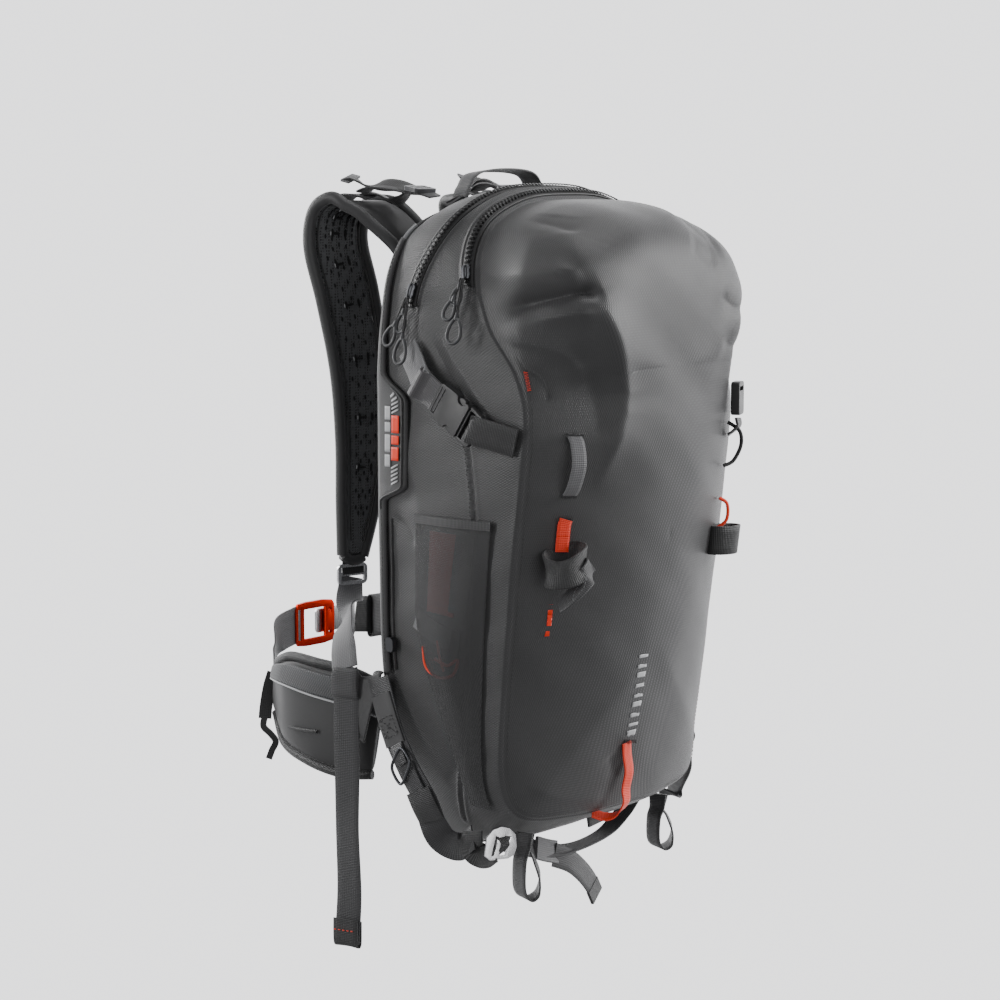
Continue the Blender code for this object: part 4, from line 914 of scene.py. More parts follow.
def band_shape(s, t):
    """The side band with its folds, zip lips, the side seams and the groove at the front seam."""
    base = band(s, t)
    normal = skin_normal(band, s, t)
    depth = np.linalg.norm(spline_at(BACK_SEAM, s, True) - spline_at(FRONT_SEAM, s, True), axis=-1)
    flat = base[..., [1, 2]]
    move = drape(base, 0.055, 0.0006)
    for line, width, height in SIDE_FOLDS:
        move = move + fold(flat, line, width, height)
    for line, start in ((main_zip_line, MAIN_ZIP_START), (pocket_zip_line, POCKET_ZIP_START)):
        reach = np.abs(t - line(s)) * depth
        along = smooth_step(start - 0.15, start + 0.15, np.minimum(s, ROUND - s))
        move = move * (1 - along * np.exp(-(reach / 0.012) ** 4))
        move = move + along * LIP_RISE * np.exp(-((reach - LIP_REACH) / LIP_WIDTH) ** 2)
    seam_far, _ = near_line(flat, curve_through([(*p, 0) for p in SIDE_SEAM], 30)[:, :2])
    move = move - 0.0010 * np.exp(-(seam_far / 0.0014) ** 2) + 0.0005 * np.exp(-((seam_far - 0.004)
            / 0.002) ** 2)
    edge = np.minimum(t, 1 - t) * depth
    move = move * smooth_step(0, 0.010, edge)
    point = base + normal * move[..., None]
    return point - seam_normal(s) * (SEAM_GROOVE * np.exp(-(t * depth / SEAM_WIDTH) ** 2))[..., None]


def band_piece(name, start, end, columns, node):
    rows = np.concatenate([np.linspace(0, 0.05, 12)[:-1], np.linspace(0.05, 1.0, 100)])
    s_grid, t_grid = np.meshgrid(np.linspace(start, end, columns), rows, indexing="xy")
    piece = cloth_grid(name, band_shape(s_grid, t_grid)[:, ::-1], coated_cloth, "pack")
    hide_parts(node)
    return piece


BASE_END, SIDE_END = 2.5, 8.6
band_piece("base_panel_cloth", -BASE_END, BASE_END, 190, "base_panel")
band_piece("left_side_panel_cloth", BASE_END, SIDE_END, 300, "left_side_panel")
band_piece("top_panel_cloth", SIDE_END, ROUND - SIDE_END, 330, "top_panel")
band_piece("right_side_panel_cloth", ROUND - SIDE_END, ROUND - BASE_END, 300, "right_side_panel")
print("side band made")

# %% [markdown]
# ## Stitches
#
# Thread shows as short rounded lengths with gaps between them, and as a dense zigzag where webbing is
# tacked down. Every row of stitches on one piece becomes one mesh of small six-sided lengths.

# %% Stitch maker
STITCH_LENGTH, STITCH_GAP, THREAD_RADIUS = 2.6 * MM, 1.1 * MM, 0.38 * MM


def sew(name, lines, finish, body, length=STITCH_LENGTH, gap=STITCH_GAP, radius=THREAD_RADIUS):
    """Rows of stitches along lines of points of the pack's own frame."""
    points, faces = [], []
    for line in lines:
        line = np.asarray(line, float)
        steps = np.concatenate([[0], np.cumsum(np.linalg.norm(np.diff(line, axis=0), axis=1))])
        count = max(1, int(steps[-1] / (length + gap)))
        starts = np.arange(count) * steps[-1] / count
        for start in starts:
            ends = [np.array([np.interp(start + k, steps, line[:, axis]) for axis in range(3)]) for k in (0,
                    length)]
            ahead = unit(ends[1] - ends[0])
            side = unit(np.cross(ahead, (0.31, 0.87, 0.38)))
            up = np.cross(ahead, side)
            base = len(points)
            for share, swell in ((0, 0.35), (0.25, 1.0), (0.75, 1.0), (1, 0.35)):
                for k in range(6):
                    angle = math.tau * k / 6
                    points.append(ends[0] + (ends[1] - ends[0]) * share
                                  + (side * math.cos(angle) + up * math.sin(angle)) * radius * swell)
            faces.append(tuple(base + k for k in range(5, -1, -1)))
            faces.append(tuple(base + 18 + k for k in range(6)))
            for ring in range(3):
                for k in range(6):
                    a, b = base + ring * 6 + k, base + ring * 6 + (k + 1) % 6
                    faces.append((a, b, b + 6, a + 6))
    piece = finish_mesh(name, placed(points), faces, finish)
    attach(piece, body)
    return piece


def zigzag(start, end, across, turns, normal=(0, 0, 0)):
    """The line of a bar tack from start to end, swinging by across at each turn."""
    start, end, across = (np.asarray(v, float) for v in (start, end, across))
    return [start + (end - start) * k / turns + across * (0.5 if k % 2 else -0.5) + np.asarray(normal, float)
            for k in range(turns + 1)]


def bar_tack(name, centre, along, across, length, width, finish, body, turns=12):
    """A dense zigzag of thread that holds webbing down. along and across are unit directions."""
    centre, along, across = np.asarray(centre, float), unit(np.asarray(along, float)), unit(np.asarray(across,
            float))
    line = zigzag(centre - along * length / 2, centre + along * length / 2, across * width, turns)
    return tube(name, line, 0.42 * MM, finish, body, resample=False, sides=6)


# %% Seam stitching
front_rows = []
for low, high in ((0.9, 7.2), (ROUND - 7.2, ROUND - 0.9)):
    stations = np.linspace(low, high, 240)
    front_rows.append(front_shape(stations, np.full(240, 0.972)) + skin_normal(front, stations,
            0.972) * 0.0004)
sew("front_seam_stitches", front_rows, dark_thread, "pack", radius=0.30 * MM)
side_rows = []
for shift in (-0.0042, 0.0042):
    line = curve_through([(*p, 0) for p in SIDE_SEAM], 110)[:, :2]
    depth_shares = np.array([np.argmin(abs(band(station_at(z / PACK_HEIGHT, np.linspace(0, 1, 60)),
                                                np.linspace(0, 1, 60))[:, 1] - y - shift)) / 59
                             for y, z in line])
    stations = station_at(line[:, 1] / PACK_HEIGHT, depth_shares)
    row = band_shape(stations, depth_shares) + skin_normal(band, stations, depth_shares) * 0.0005
    side_rows += [row, mirrored(row, RIGHT)]
sew("side_seam_stitches", side_rows[2:], dark_thread, "pack", radius=0.28 * MM)
print("seam stitches sewn")

# %% [markdown]
# ## Back pad, frame sheet and the inflation system
#
# The pad against the wearer is foam under spacer mesh, split by a wide channel down the middle and two
# across it, so air can pass. Behind it a stiff sheet carries the load. The folded airbag, its blower, the
# power pack and the trigger's cable are inside the cloth, and keep their CAD shapes in their own finishes.

# %% Back pad
PAD_THICKNESS, PAD_LIFT = 0.014, 0.0032


def pad_relief(x, z):
    """Share of the pad's full height: channels where the foam is left out."""
    upright = smooth_step(0.010, 0.026, np.abs(x))
    lines = [smooth_step(0.004, 0.016, np.abs(z - level - 0.25 * np.abs(x))) for level in (0.200, 0.335,
            0.450)]
    return 0.25 + 0.75 * upright * np.minimum.reduce(lines)


turn = np.linspace(0, ROUND, 361)[:-1]
out = np.concatenate([np.linspace(0, 0.9, 70)[:-1], np.linspace(0.9, 1.0, 22)])
s_grid, r_grid = np.meshgrid(turn, out, indexing="xy")
base = back(s_grid, r_grid)
tuck = 0.25 * SEAM_DEPTH * smooth_step(0.16, 0.0, base[..., 2] / PACK_HEIGHT) * (base[...,
        2] < 0.16 * PACK_HEIGHT)
edge = np.sqrt(np.clip(1 - np.clip((r_grid - 0.84) / 0.15, 0, 1) ** 2, 0, 1))
height = PAD_THICKNESS * edge * pad_relief(base[..., 0], base[..., 2])
pad = np.stack([base[..., 0], -tuck * 0.8 + PAD_LIFT + height - 0.004 * (1 - edge), base[..., 2]], -1)
back_pad = finish_mesh("back_pad_foam", placed(pad.reshape(-1, 3)),
                       grid_faces(*pad.shape[:2], ring=True)[:, ::-1], pad_mesh,
                       (pad[..., [0, 2]]).reshape(-1, 2))
work = bmesh.new()
work.from_mesh(back_pad.data)
bmesh.ops.remove_doubles(work, verts=work.verts, dist=2e-5)
bmesh.ops.recalc_face_normals(work, faces=work.faces)
work.to_mesh(back_pad.data)
work.free()
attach(back_pad, "pack")
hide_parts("back_pad")
rim = back(turn, 1.0) + (0, 0.0012, 0)
tube("back_seam_piping", rim[::3], 0.0024, binding, "pack", count=300, cyclic=True)
for node, finish in (("frame_sheet", polythene), ("folded_airbag", ripstop), ("blower_housing", housing_abs),
                     ("impeller", housing_abs), ("power_pack", housing_abs), ("trigger_cable", elastic)):
    repaint(node, finish)
print("back pad and inflation system finished")

# %% [markdown]
# ## The stretch pocket and what is in it
#
# The pocket low on the left side holds the leg strap while it isn't used: an orange webbing with a flat
# hook. The knit lies over it and lets it show. Its top edge is bound with elastic, and it folds a little at
# the back.

# %% Leg strap in the pocket
def side_spot(height_mm, t, lift_mm=0.0, side=LEFT):
    """A point of a side panel by its height in millimetres and its share of the depth, lifted off the cloth."""
    s = station_at(height_mm * MM / PACK_HEIGHT, t)
    return mirrored(on_band(s, t, lift_mm * MM), side)


UP = np.array((0.0, 0.0, 1.0))
FORE = np.array((0.0, -1.0, 0.0))
strap("leg_strap_folded", [side_spot(300, 0.50, 0.9), side_spot(262, 0.50, 1.2), side_spot(228, 0.51, 0.9)],
      FORE, 0.030,
      orange_webbing, "pack", thick=1.4 * MM)
strap("leg_strap_cover", [side_spot(302, 0.33, 1.7), side_spot(266, 0.35, 2.0), side_spot(230, 0.37, 1.7)],
      FORE, 0.021,
      dark_webbing, "pack", thick=1.2 * MM)
strap("leg_strap_turn", [side_spot(222, 0.70, 1.4), side_spot(214, 0.58, 2.6), side_spot(206, 0.42, 1.4)], UP,
      0.019,
      lit_grey_webbing, "pack", thick=1.4 * MM)
strap("leg_strap_tail", [side_spot(216, 0.37, 2.2), side_spot(195, 0.39, 2.4), side_spot(172, 0.41, 1.6)],
      FORE, 0.010,
      dark_webbing, "pack", thick=1.2 * MM)
hook_wire = [side_spot(198, 0.64, 2.2), side_spot(180, 0.62, 2.6), side_spot(172, 0.52, 2.8),
             side_spot(176, 0.40, 2.6),
             side_spot(190, 0.36, 2.4), side_spot(184, 0.44, 3.0), side_spot(188, 0.54, 2.8)]
tube("leg_strap_hook", hook_wire, 1.5 * MM, orange_acetal, "pack", count=60)
tube("leg_strap_hook_gate", [side_spot(205, 0.52, 2.8), side_spot(190, 0.50, 3.2), side_spot(178, 0.47, 2.8)],
     1.2 * MM,
     orange_acetal, "pack")

# %% Pocket knit
POCKET_FROM, POCKET_TO = 59.0, 309.75
POCKET_EDGES = (0.16, 0.70)


def pocket_spot(u, v, lift):
    """A point of the pocket: u from its front edge to its back edge, v from the bottom to the top."""
    height = POCKET_FROM + (POCKET_TO - POCKET_FROM) * v
    reach = 0.36 + 0.64 * smooth_step(0.08, 0.40, height * MM / PACK_HEIGHT)
    share = POCKET_EDGES[0] + (POCKET_EDGES[1] - POCKET_EDGES[0]) * u * reach
    belly = np.sin(np.pi * u) * np.sin(np.pi * np.clip(v, 0, 1) ** 1.3)
    slouch = 0.0016 * smooth_step(0.80, 1.0, v) * np.sin(np.pi * u) ** 2
    wave = 0.0007 * np.sin(9 * u + 5 * v) * np.sin(7 * v - 3 * u) * belly
    s = station_at(height * MM / PACK_HEIGHT, share)
    return on_band(s, share, 0.0030 + 0.0056 * belly + slouch + wave + lift)


u_grid, v_grid = np.meshgrid(np.linspace(0, 1, 60), np.linspace(0, 1, 110), indexing="xy")
pocket = cloth_grid("stretch_pocket_knit", pocket_spot(u_grid, v_grid, 0)[:, ::-1], stretch_knit, "pack",
                    wall=0.5 * MM)
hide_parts("mesh_pocket")
hem_line = pocket_spot(np.linspace(0, 1, 40), np.ones(40), 0.0002)
hem = strap("pocket_hem", hem_line, UP, 0.008, binding, "pack", thick=1.2 * MM, resample=False)
flat_rows = np.linalg.norm(np.diff(pocket_spot(u_grid, v_grid, 0), axis=1), axis=-1).sum(1)
flat_columns = np.linalg.norm(np.diff(pocket_spot(u_grid, v_grid, 0), axis=0), axis=-1).sum(0)

# %% [markdown]
# ## Burst flap of the airbag
#
# When the airbag is fired, it bursts out through a zip along the back edge of each side. A stiff flap
# covers that zip, with a wide tongue in its middle. A glossy trim runs along its edge, painted light grey as
# a highlight, and the tongue has a raised double border. Its printed warning is replaced here by plain bars
# and slanting hatches.

# %% Flap and its border
FLAP_LOW, FLAP_HIGH = 0.285, 0.93


def flap_width(height):
    tongue = smooth_step(0.545, 0.572, height) - smooth_step(0.695, 0.738, height)
    return 0.0072 + 0.0270 * tongue


def flap_spot(height, share, lift):
    """A point of the flap: share 0 at the back seam and 1 at its front edge."""
    t = 0.995 - flap_width(height) * share / SEAM_DEPTH
    s = station_at(height, t)
    return on_band(s, t, lift)


h_grid, w_grid = np.meshgrid(np.linspace(FLAP_LOW, FLAP_HIGH, 200), np.linspace(0, 1, 22), indexing="ij")
crown = 0.0024 + 0.0016 * np.sin(np.pi * np.clip(w_grid, 0, 1)) ** 0.5
flap = cloth_grid("burst_flap", flap_spot(h_grid, w_grid, crown)[:, ::-1], smooth_cloth, "pack",
                  wall=1.4 * MM)
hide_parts("left_airbag_flap")
edge_heights = np.linspace(FLAP_LOW, FLAP_HIGH, 160)
tube("burst_flap_edge", flap_spot(edge_heights, 0.995, 0.0026), 1.25 * MM, binding, "pack", resample=False,
     sides=8)
inner_heights = np.linspace(0.533, 0.716, 80)
inner_share = 1 - 0.0034 / flap_width(inner_heights)
tube("burst_flap_welt", flap_spot(inner_heights, inner_share, 0.0056), 0.75 * MM, smooth_cloth, "pack",
     resample=False, sides=8)
sew("burst_flap_stitches", [flap_spot(edge_heights[4:-4], 1 - 0.0021 / flap_width(edge_heights[4:-4]),
                                      0.0054)], dark_thread,
    "pack", radius=0.26 * MM)
# The trim along the flap's back edge, light grey as a painted highlight.
trim_heights = np.linspace(0.30, 0.95, 150)
tube("burst_flap_highlight_trim", on_band(station_at(trim_heights, 0.985), 0.985, 0.0022), 2.1 * MM, highlight_trim,
     "pack",
     resample=False, sides=10, flat=0.8)

# %% Bars and hatches printed on the flap
def flat_patch(name, corners, spot, finish, body="pack", steps=6):
    """A thin printed patch between four (a, b) corners on a surface given by spot(a, b)."""
    (a0, b0), (a1, b1), (a2, b2), (a3, b3) = corners
    u, v = np.meshgrid(np.linspace(0, 1, steps), np.linspace(0, 1, steps), indexing="xy")
    a = (a0 * (1 - u) + a1 * u) * (1 - v) + (a3 * (1 - u) + a2 * u) * v
    b = (b0 * (1 - u) + b1 * u) * (1 - v) + (b3 * (1 - u) + b2 * u) * v
    grid = spot(a, b)
    return cloth_grid(name, grid, finish, body, wall=0.15 * MM)


def on_flap(height, share):
    return flap_spot(height, share, 0.0064)


bars = []
for k, (low, high) in enumerate(((0.598, 0.616), (0.620, 0.646), (0.650, 0.664), (0.668, 0.688))):
    bars.append(flat_patch(f"flap_bar_light_{k}", ((low, 0.32), (high, 0.32), (high, 0.52), (low, 0.52)),
                           on_flap, light_ink))
joined("flap_bars_light", bars)
bars = []
for k, (low, high) in enumerate(((0.608, 0.628), (0.632, 0.645), (0.649, 0.675))):
    bars.append(flat_patch(f"flap_bar_orange_{k}", ((low, 0.56), (high, 0.56), (high, 0.82), (low, 0.82)),
                           on_flap, orange_ink))
joined("flap_bars_orange", bars)
bars = []
for k, low in enumerate((0.571, 0.577, 0.583, 0.589, 0.595, 0.677, 0.683, 0.689, 0.695, 0.701)):
    bars.append(flat_patch(f"flap_hatch_{k}", ((low, 0.56), (low + 0.0026, 0.56), (low + 0.0086, 0.80),
                                               (low + 0.0060, 0.80)),
                           on_flap, light_ink, steps=4))
joined("flap_hatches", bars)
print("burst flap made, with", len(bars), "hatches")

# %% Burst zip beside the flap
AIRBAG_ZIP_T = 0.905
zip_heights = np.linspace(0.29, 0.52, 90)
tube("burst_zip_coil", on_band(station_at(zip_heights, AIRBAG_ZIP_T), AIRBAG_ZIP_T, 0.0010), 1.6 * MM,
     dark_webbing, "pack",
     resample=False, flat=0.6)
repaint("airbag_zip_slider", slider_zinc)

# %% [markdown]
# ## Zips
#
# A coil zip is two rows of nylon loops that mesh, sewn to two tapes. The tape is one band with a raised
# middle. The loops are real small shapes across it. Each slider is painted zinc and carries thin cords, and
# each cord ends in a moulded teardrop that a gloved hand can find.

# %% Zip tapes and coils
zip_nylon = moulded_plastic("woven_zip_tape_nylon", "#19191a", 0.5)
coil_nylon = moulded_plastic("nylon_zip_coil", "#1d1d1e", 0.36)
COIL_PITCH, COIL_HALF = 2.2 * MM, 2.9 * MM


def zip_run(name, line, start, node):
    """The tape and coil of one zip over the top of the pack, from one side to the other."""
    stations = np.linspace(start, ROUND - start, 420)
    depth = np.linalg.norm(spline_at(BACK_SEAM, stations, True) - spline_at(FRONT_SEAM, stations, True),
                           axis=-1)
    profile = [(-0.5, 0.4), (-0.30, 1.0), (-0.26, 1.2), (0.26, 1.2), (0.30, 1.0), (0.5, 0.4)]
    rows = [on_band(stations, line(stations) + u * ZIP_WIDTH / depth, TAPE_LIFT + v * ZIP_THICKNESS) for u,
            v in profile]
    tape = cloth_grid(name + "_tape", np.stack(rows, 0), zip_nylon, "pack", wall=0.8 * MM)
    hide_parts(node)
    middle = on_band(stations, line(stations), TAPE_LIFT + 1.9 * ZIP_THICKNESS)
    out = skin_normal(band, stations, line(stations))
    length = np.concatenate([[0], np.cumsum(np.linalg.norm(np.diff(middle, axis=0), axis=1))])
    teeth = int(length[-1] / COIL_PITCH)
    points, faces = [], []
    for k in range(teeth):
        at = (k + 0.5) * length[-1] / teeth
        centre = np.array([np.interp(at, length, middle[:, a]) for a in range(3)])
        lift = unit(np.array([np.interp(at, length, out[:, a]) for a in range(3)]))
        ahead = unit(np.array([np.interp(at + 1e-3, length, middle[:, a]) - np.interp(at - 1e-3, length,
                middle[:, a])
                               for a in range(3)]))
        side = np.cross(lift, ahead)
        sign = 1 if k % 2 else -1
        base = len(points)
        for u, rise in ((-0.35, 0.0), (0.25, 0.55), (1.0, 0.2)):
            for w in (-0.62, 0.62):
                for v in (-0.5, 0.5):
                    points.append(centre + side * (sign * u * COIL_HALF) + ahead * (w * COIL_PITCH * 0.62)
                                  + lift * ((rise + v) * 1.0 * MM))
        for ring in range(2):
            o = base + ring * 4
            faces += [(o, o + 4, o + 5, o + 1), (o + 1, o + 5, o + 7, o + 3), (o + 3, o + 7, o + 6, o + 2),
                      (o + 2, o + 6, o + 4, o)]
        faces += [(base, base + 1, base + 3, base + 2), (base + 8, base + 10, base + 11, base + 9)]
    coil = finish_mesh(name + "_coil", placed(points), faces, coil_nylon)
    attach(coil, "pack")
    return teeth


teeth = zip_run("main_zip", main_zip_line, MAIN_ZIP_START, "main_zip_tape")
teeth += zip_run("pocket_zip", pocket_zip_line, POCKET_ZIP_START, "pocket_zip_tape")
print(teeth, "coil loops on two zips")

# %% Sliders and teardrop pulls
SLIDER_SIZE = (0.0095, 0.0130, 0.0046)


def slider_place(height, line):
    """The place of a zip's slider, as the CAD model puts it: local Y along the track and local Z outwards."""
    s = float(station_at(height, float(line(MAIN_ZIP_START))))
    t = float(line(s))
    ahead = band(s + 0.12, float(line(s + 0.12))) - band(s - 0.12, float(line(s - 0.12)))
    out = skin_normal(band, s, t)
    ahead = unit(ahead - out * ahead.dot(out))
    centre = on_band(s, t, TAPE_LIFT + ZIP_THICKNESS + 0.0004 + SLIDER_SIZE[2] / 2)
    return centre, ahead, out


def slider(name, height, line, node):
    """A slider body with its bridge: a waisted plate and an arch over it."""
    centre, ahead, out = slider_place(height, line)
    place = axes_at(centre, -np.cross(out, ahead), ahead)
    half_x, half_y = SLIDER_SIZE[0] / 2, SLIDER_SIZE[1] / 2
    shield = [(-half_x * 0.62, -half_y), (half_x * 0.62, -half_y), (half_x * 0.95, -half_y * 0.45),
              (half_x * 0.80, half_y * 0.10),
              (half_x * 0.98, half_y * 0.55), (half_x * 0.60, half_y), (-half_x * 0.60, half_y),
              (-half_x * 0.98, half_y * 0.55),
              (-half_x * 0.80, half_y * 0.10), (-half_x * 0.95, -half_y * 0.45)]
    piece = moulded(name, shield, SLIDER_SIZE[2] * 0.62, place, slider_zinc, node, bevel=0.7 * MM)
    bridge = [centre + ahead * (half_y * k) + out * (SLIDER_SIZE[2] * 0.25 + h * MM)
              for k, h in ((-0.85, 0.0), (-0.70, 1.7), (0.0, 2.3), (0.70, 1.7), (0.85, 0.0))]
    arch = tube(name + "_bridge", bridge, 1.0 * MM, slider_zinc, node, flat=0.6)
    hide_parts(node)
    return centre, out, arch


def teardrop(name, top, down, out, cord_length, loop_length, loop_width, body):
    """A thin cord from a slider that ends in a moulded teardrop loop."""
    side = unit(np.cross(out, down))
    neck = top + down * cord_length
    shape = []
    for k in range(40):
        a = math.tau * k / 40
        pull = 0.5 - 0.5 * math.cos(a)
        width = math.sin(a) * loop_width / 2 * (0.55 + 0.45 * pull)
        shape.append(neck + down * (pull * loop_length) + side * width)
    loop = tube(name + "_loop", shape, 1.5 * MM, soft_pull, body, cyclic=True, resample=False, sides=10)
    sleeve = tube(name + "_sleeve", [neck - down * 5.0 * MM, neck - down * 2 * MM, neck + down * 1.5 * MM],
                  [1.3 * MM, 2.0 * MM, 1.7 * MM],
                  soft_pull, body, count=10)
    cord_pair = [tube(name + f"_cord_{k}", [top + side * k * 0.9 * MM,
                                            neck - down * 3 * MM + side * k * 0.6 * MM],
                      0.75 * MM, elastic, body, count=6, sides=8) for k in (-1, 1)]
    return joined(name, [loop, sleeve, *cord_pair])


def pulls(prefix, height, line, drops):
    body = prefix + "_pull"
    centre, out, _ = slider(prefix + "_slider_body", height, line, prefix + "_slider")
    down = unit(-UP + out * out[2])
    side = unit(np.cross(out, down))
    hinge = centre + out * (SLIDER_SIZE[2] / 2 + 0.6 * MM) + down * (SLIDER_SIZE[1] / 2)
    made = [teardrop(f"{prefix}_pull_{k}", hinge + side * shift * MM + out * 0.8 * k * MM,
                     unit(down + side * lean), out, reach * MM, length * MM, width * MM, body)
            for k, (shift, lean, reach, length, width) in enumerate(drops)]
    piece = joined(prefix + "_pull_loops", made)
    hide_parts(prefix + "_pull")


pulls("main_zip", 0.857, main_zip_line, ((-2.0, -0.10, 14, 17, 13), (-1.0, -0.42, 27, 19, 15),
                                         (2.0, -0.02, 36, 22, 17)))
pulls("pocket_zip", 0.886, pocket_zip_line, ((-1.5, -0.10, 8, 16, 12), (-1.0, -0.22, 20, 18, 13),
                                             (1.0, 0.02, 36, 22, 17)))
print("sliders and pulls made")

# %% [markdown]
# ## Compression straps and their buckles
#
# Each side has a strap of 25 mm webbing that draws the load in, with a side release buckle. The female half
# is a flat moulded box with a notch at each edge. The male half's two prongs spring out into those notches.
# The webbing is sewn into the front seam and has ribs that show where it is doubled.

# %% Place of a side buckle
BUCKLE_LIFT, BUCKLE_TURN, SLEEVE, TRAVEL, SIDE_WEB = 0.0082, math.radians(-33), 0.030, 0.024, 0.025


def buckle_axes(side):
    """Centre, direction towards the front seam, direction across and direction outwards of a side buckle."""
    s = station_at(0.688, 0.42)
    centre, out = on_band(s, 0.42, BUCKLE_LIFT), skin_normal(band, s, 0.42)
    up = unit(UP - out * out[2])
    fore = np.cross(up, out)
    along = fore * math.cos(BUCKLE_TURN) + up * math.sin(BUCKLE_TURN)
    across = np.cross(out, along)
    return [mirrored(v, side) for v in (centre, along, across, out)]


def half_turned(outline):
    """An outline given for its upper half, closed by its mirror image."""
    return outline + [(x, -y) for x, y in reversed(outline)]


def arc_points(cx, cy, radius, start, end, steps=6):
    return [(cx + radius * math.cos(math.radians(start + (end - start) * k / steps)),
             cy + radius * math.sin(math.radians(start + (end - start) * k / steps)))
             for k in range(steps + 1)]


def side_buckle(prefix, side):
    centre, along, across, out = buckle_axes(side)
    place = axes_at(centre, along, across)
    female_half = [(-0.0215, 0.0135), (-0.0195, 0.0155), (-0.0060, 0.0165), (-0.0020, 0.0165),
                   *arc_points(0.0050, 0.0170, 0.0056, 190, 350),
                   (0.0125, 0.0165), (0.0150, 0.0150)]
    bar_slot = [(-0.0190, 0.0125), (-0.0150, 0.0125), (-0.0150, -0.0125), (-0.0190, -0.0125)]
    female = moulded(prefix + "_buckle_female_body", half_turned(female_half), 0.0090, place, acetal,
                     prefix + "_side_buckle",
                     holes=[bar_slot], bevel=1.1 * MM)
    male_half = [(-0.0105, 0.0098), *arc_points(-0.0005, 0.0125, 0.0024, 180, 90, 3),
                 *arc_points(0.0052, 0.0135, 0.0040, 110, 20, 5),
                 (0.0100, 0.0118), (0.0152, 0.0118), (0.0156, 0.0165), (0.0290, 0.0160), (0.0310, 0.0140)]
    male_half = [(x, min(y, 0.0170)) for x, y in male_half]
    web_slot = [(0.0172, 0.0132), (0.0228, 0.0132), (0.0228, -0.0132), (0.0172, -0.0132)]
    spring_slot = [(-0.0060, 0.0075), (0.0130, 0.0085), (0.0130, -0.0085), (-0.0060, -0.0075)]
    male = moulded(prefix + "_buckle_male_body", half_turned(male_half), 0.0050, place, acetal, "pack",
                   holes=[web_slot, spring_slot], bevel=0.8 * MM)
    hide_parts(prefix + "_buckle_female")
    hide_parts(prefix + "_buckle_male")

    start = mirrored(on_band(station_at(0.775, 0.74), 0.74, 0.0042), side)
    near = centre - along * (SLEEVE / 2 - 0.003)
    rear = [start, start + (near - along * TRAVEL * 1.3 - start) * 0.5, near - along * TRAVEL * 1.3,
            near - along * 0.004 + out * 0.0010]
    upper = strap(prefix + "_compression_webbing", rear, across, SIDE_WEB, lit_grey_webbing, None, count=40)
    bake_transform(upper)
    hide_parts(prefix + "_upper_strap")
    fold_back = [near - along * 0.004 + out * 0.0030, near - along * 0.020 + out * 0.0034,
                 near - along * 0.0255 + out * 0.0062,
                 near - along * 0.0290 + out * 0.0100, near - along * 0.0335 + out * 0.0085,
                 near - along * 0.0360 + out * 0.0030]
    strap(prefix + "_webbing_fold", fold_back, across, SIDE_WEB * 1.04, smooth_strap, prefix + "_side_buckle",
          count=36)
    front_end = centre + along * 0.0225 + out * 0.0030
    seam = mirrored(on_band(station_at(0.648, 0.045), 0.045, 0.0036), side)
    lower = strap(prefix + "_seam_webbing", [centre + along * 0.0262 - out * 0.0030, centre + along * 0.0222,
                                             front_end + along * 0.0025,
                                             front_end + (seam - front_end) * 0.55 + out * 0.001, seam],
                                             across, SIDE_WEB, dark_webbing,
                  "pack", count=36, thick=1.8 * MM)
    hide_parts(prefix + "_lower_strap")
    sew(prefix + "_seam_webbing_stitches", [[seam - along * 0.0035 + across * SIDE_WEB * k + out * 0.0014
                                             for k in (-0.46, 0, 0.46)]],
        grey_thread, "pack")


smooth_strap = webbing_finish("folded_satin_webbing", "#4b4a4c", "#5b5a5c", 0.42)
for prefix, side in (("left", LEFT), ("right", RIGHT)):
    side_buckle(prefix, side)
print("side buckles made")

# %% [markdown]
# ## Padded pieces
#
# Foam in cloth swells between its seams. Each shoulder pad starts as a plain lofted form, a little smaller
# than it should be. It is remeshed to even squares and blown up by a cloth simulation with pressure and no
# gravity, and each point may only move a few millimetres, so the pad stays in its place. The hip wings are
# only subdivided, because simulated ones came away from the binding round their lower edge. Bindings and
# seams are laid on afterwards.

# %% Loft and stuffing
VOXEL, PRESSURE, SETTLE_FRAMES = 4.5 * MM, 4.0, 20


def oval(count=28, squareness=0.55):
    turn = np.linspace(0, 2 * np.pi, count, endpoint=False)
    c, s = np.cos(turn), np.sin(turn)
    return np.stack([0.5 * np.sign(c) * np.abs(c) ** squareness, 0.5 * np.sign(s) * np.abs(s) ** 0.8], -1)


def loft(name, path, across, widths, thickness, finish):
    """A closed padded form along a path."""
    count = len(path)
    across = np.broadcast_to(np.asarray(across, float), path.shape)
    _, side, up = path_frames(path, across)
    profile = oval()
    grid = path[:, None] + side[:, None] * (profile[:, 0] * widths[:, None])[..., None] + up[:, None] * (
        profile[:, 1] * thickness[:, None])[..., None]
    n = len(profile)
    faces = [tuple(f) for f in grid_faces(count, n, ring=True)]
    faces += [tuple(range(n - 1, -1, -1)), tuple(range((count - 1) * n, count * n))]
    piece = finish_mesh(name, placed(grid.reshape(-1, 3)), faces, finish)
    return piece, up


def subdivided(piece):
    """Rounds a closed form off by one subdivision, and leaves a plain mesh."""
    smooth = piece.modifiers.new("smooth", "SUBSURF")
    smooth.levels = smooth.render_levels = 1
    piece.data = bpy.data.meshes.new_from_object(piece.evaluated_get(bpy.context.evaluated_depsgraph_get()))
    piece.modifiers.clear()
    piece.data.shade_smooth()
    return piece


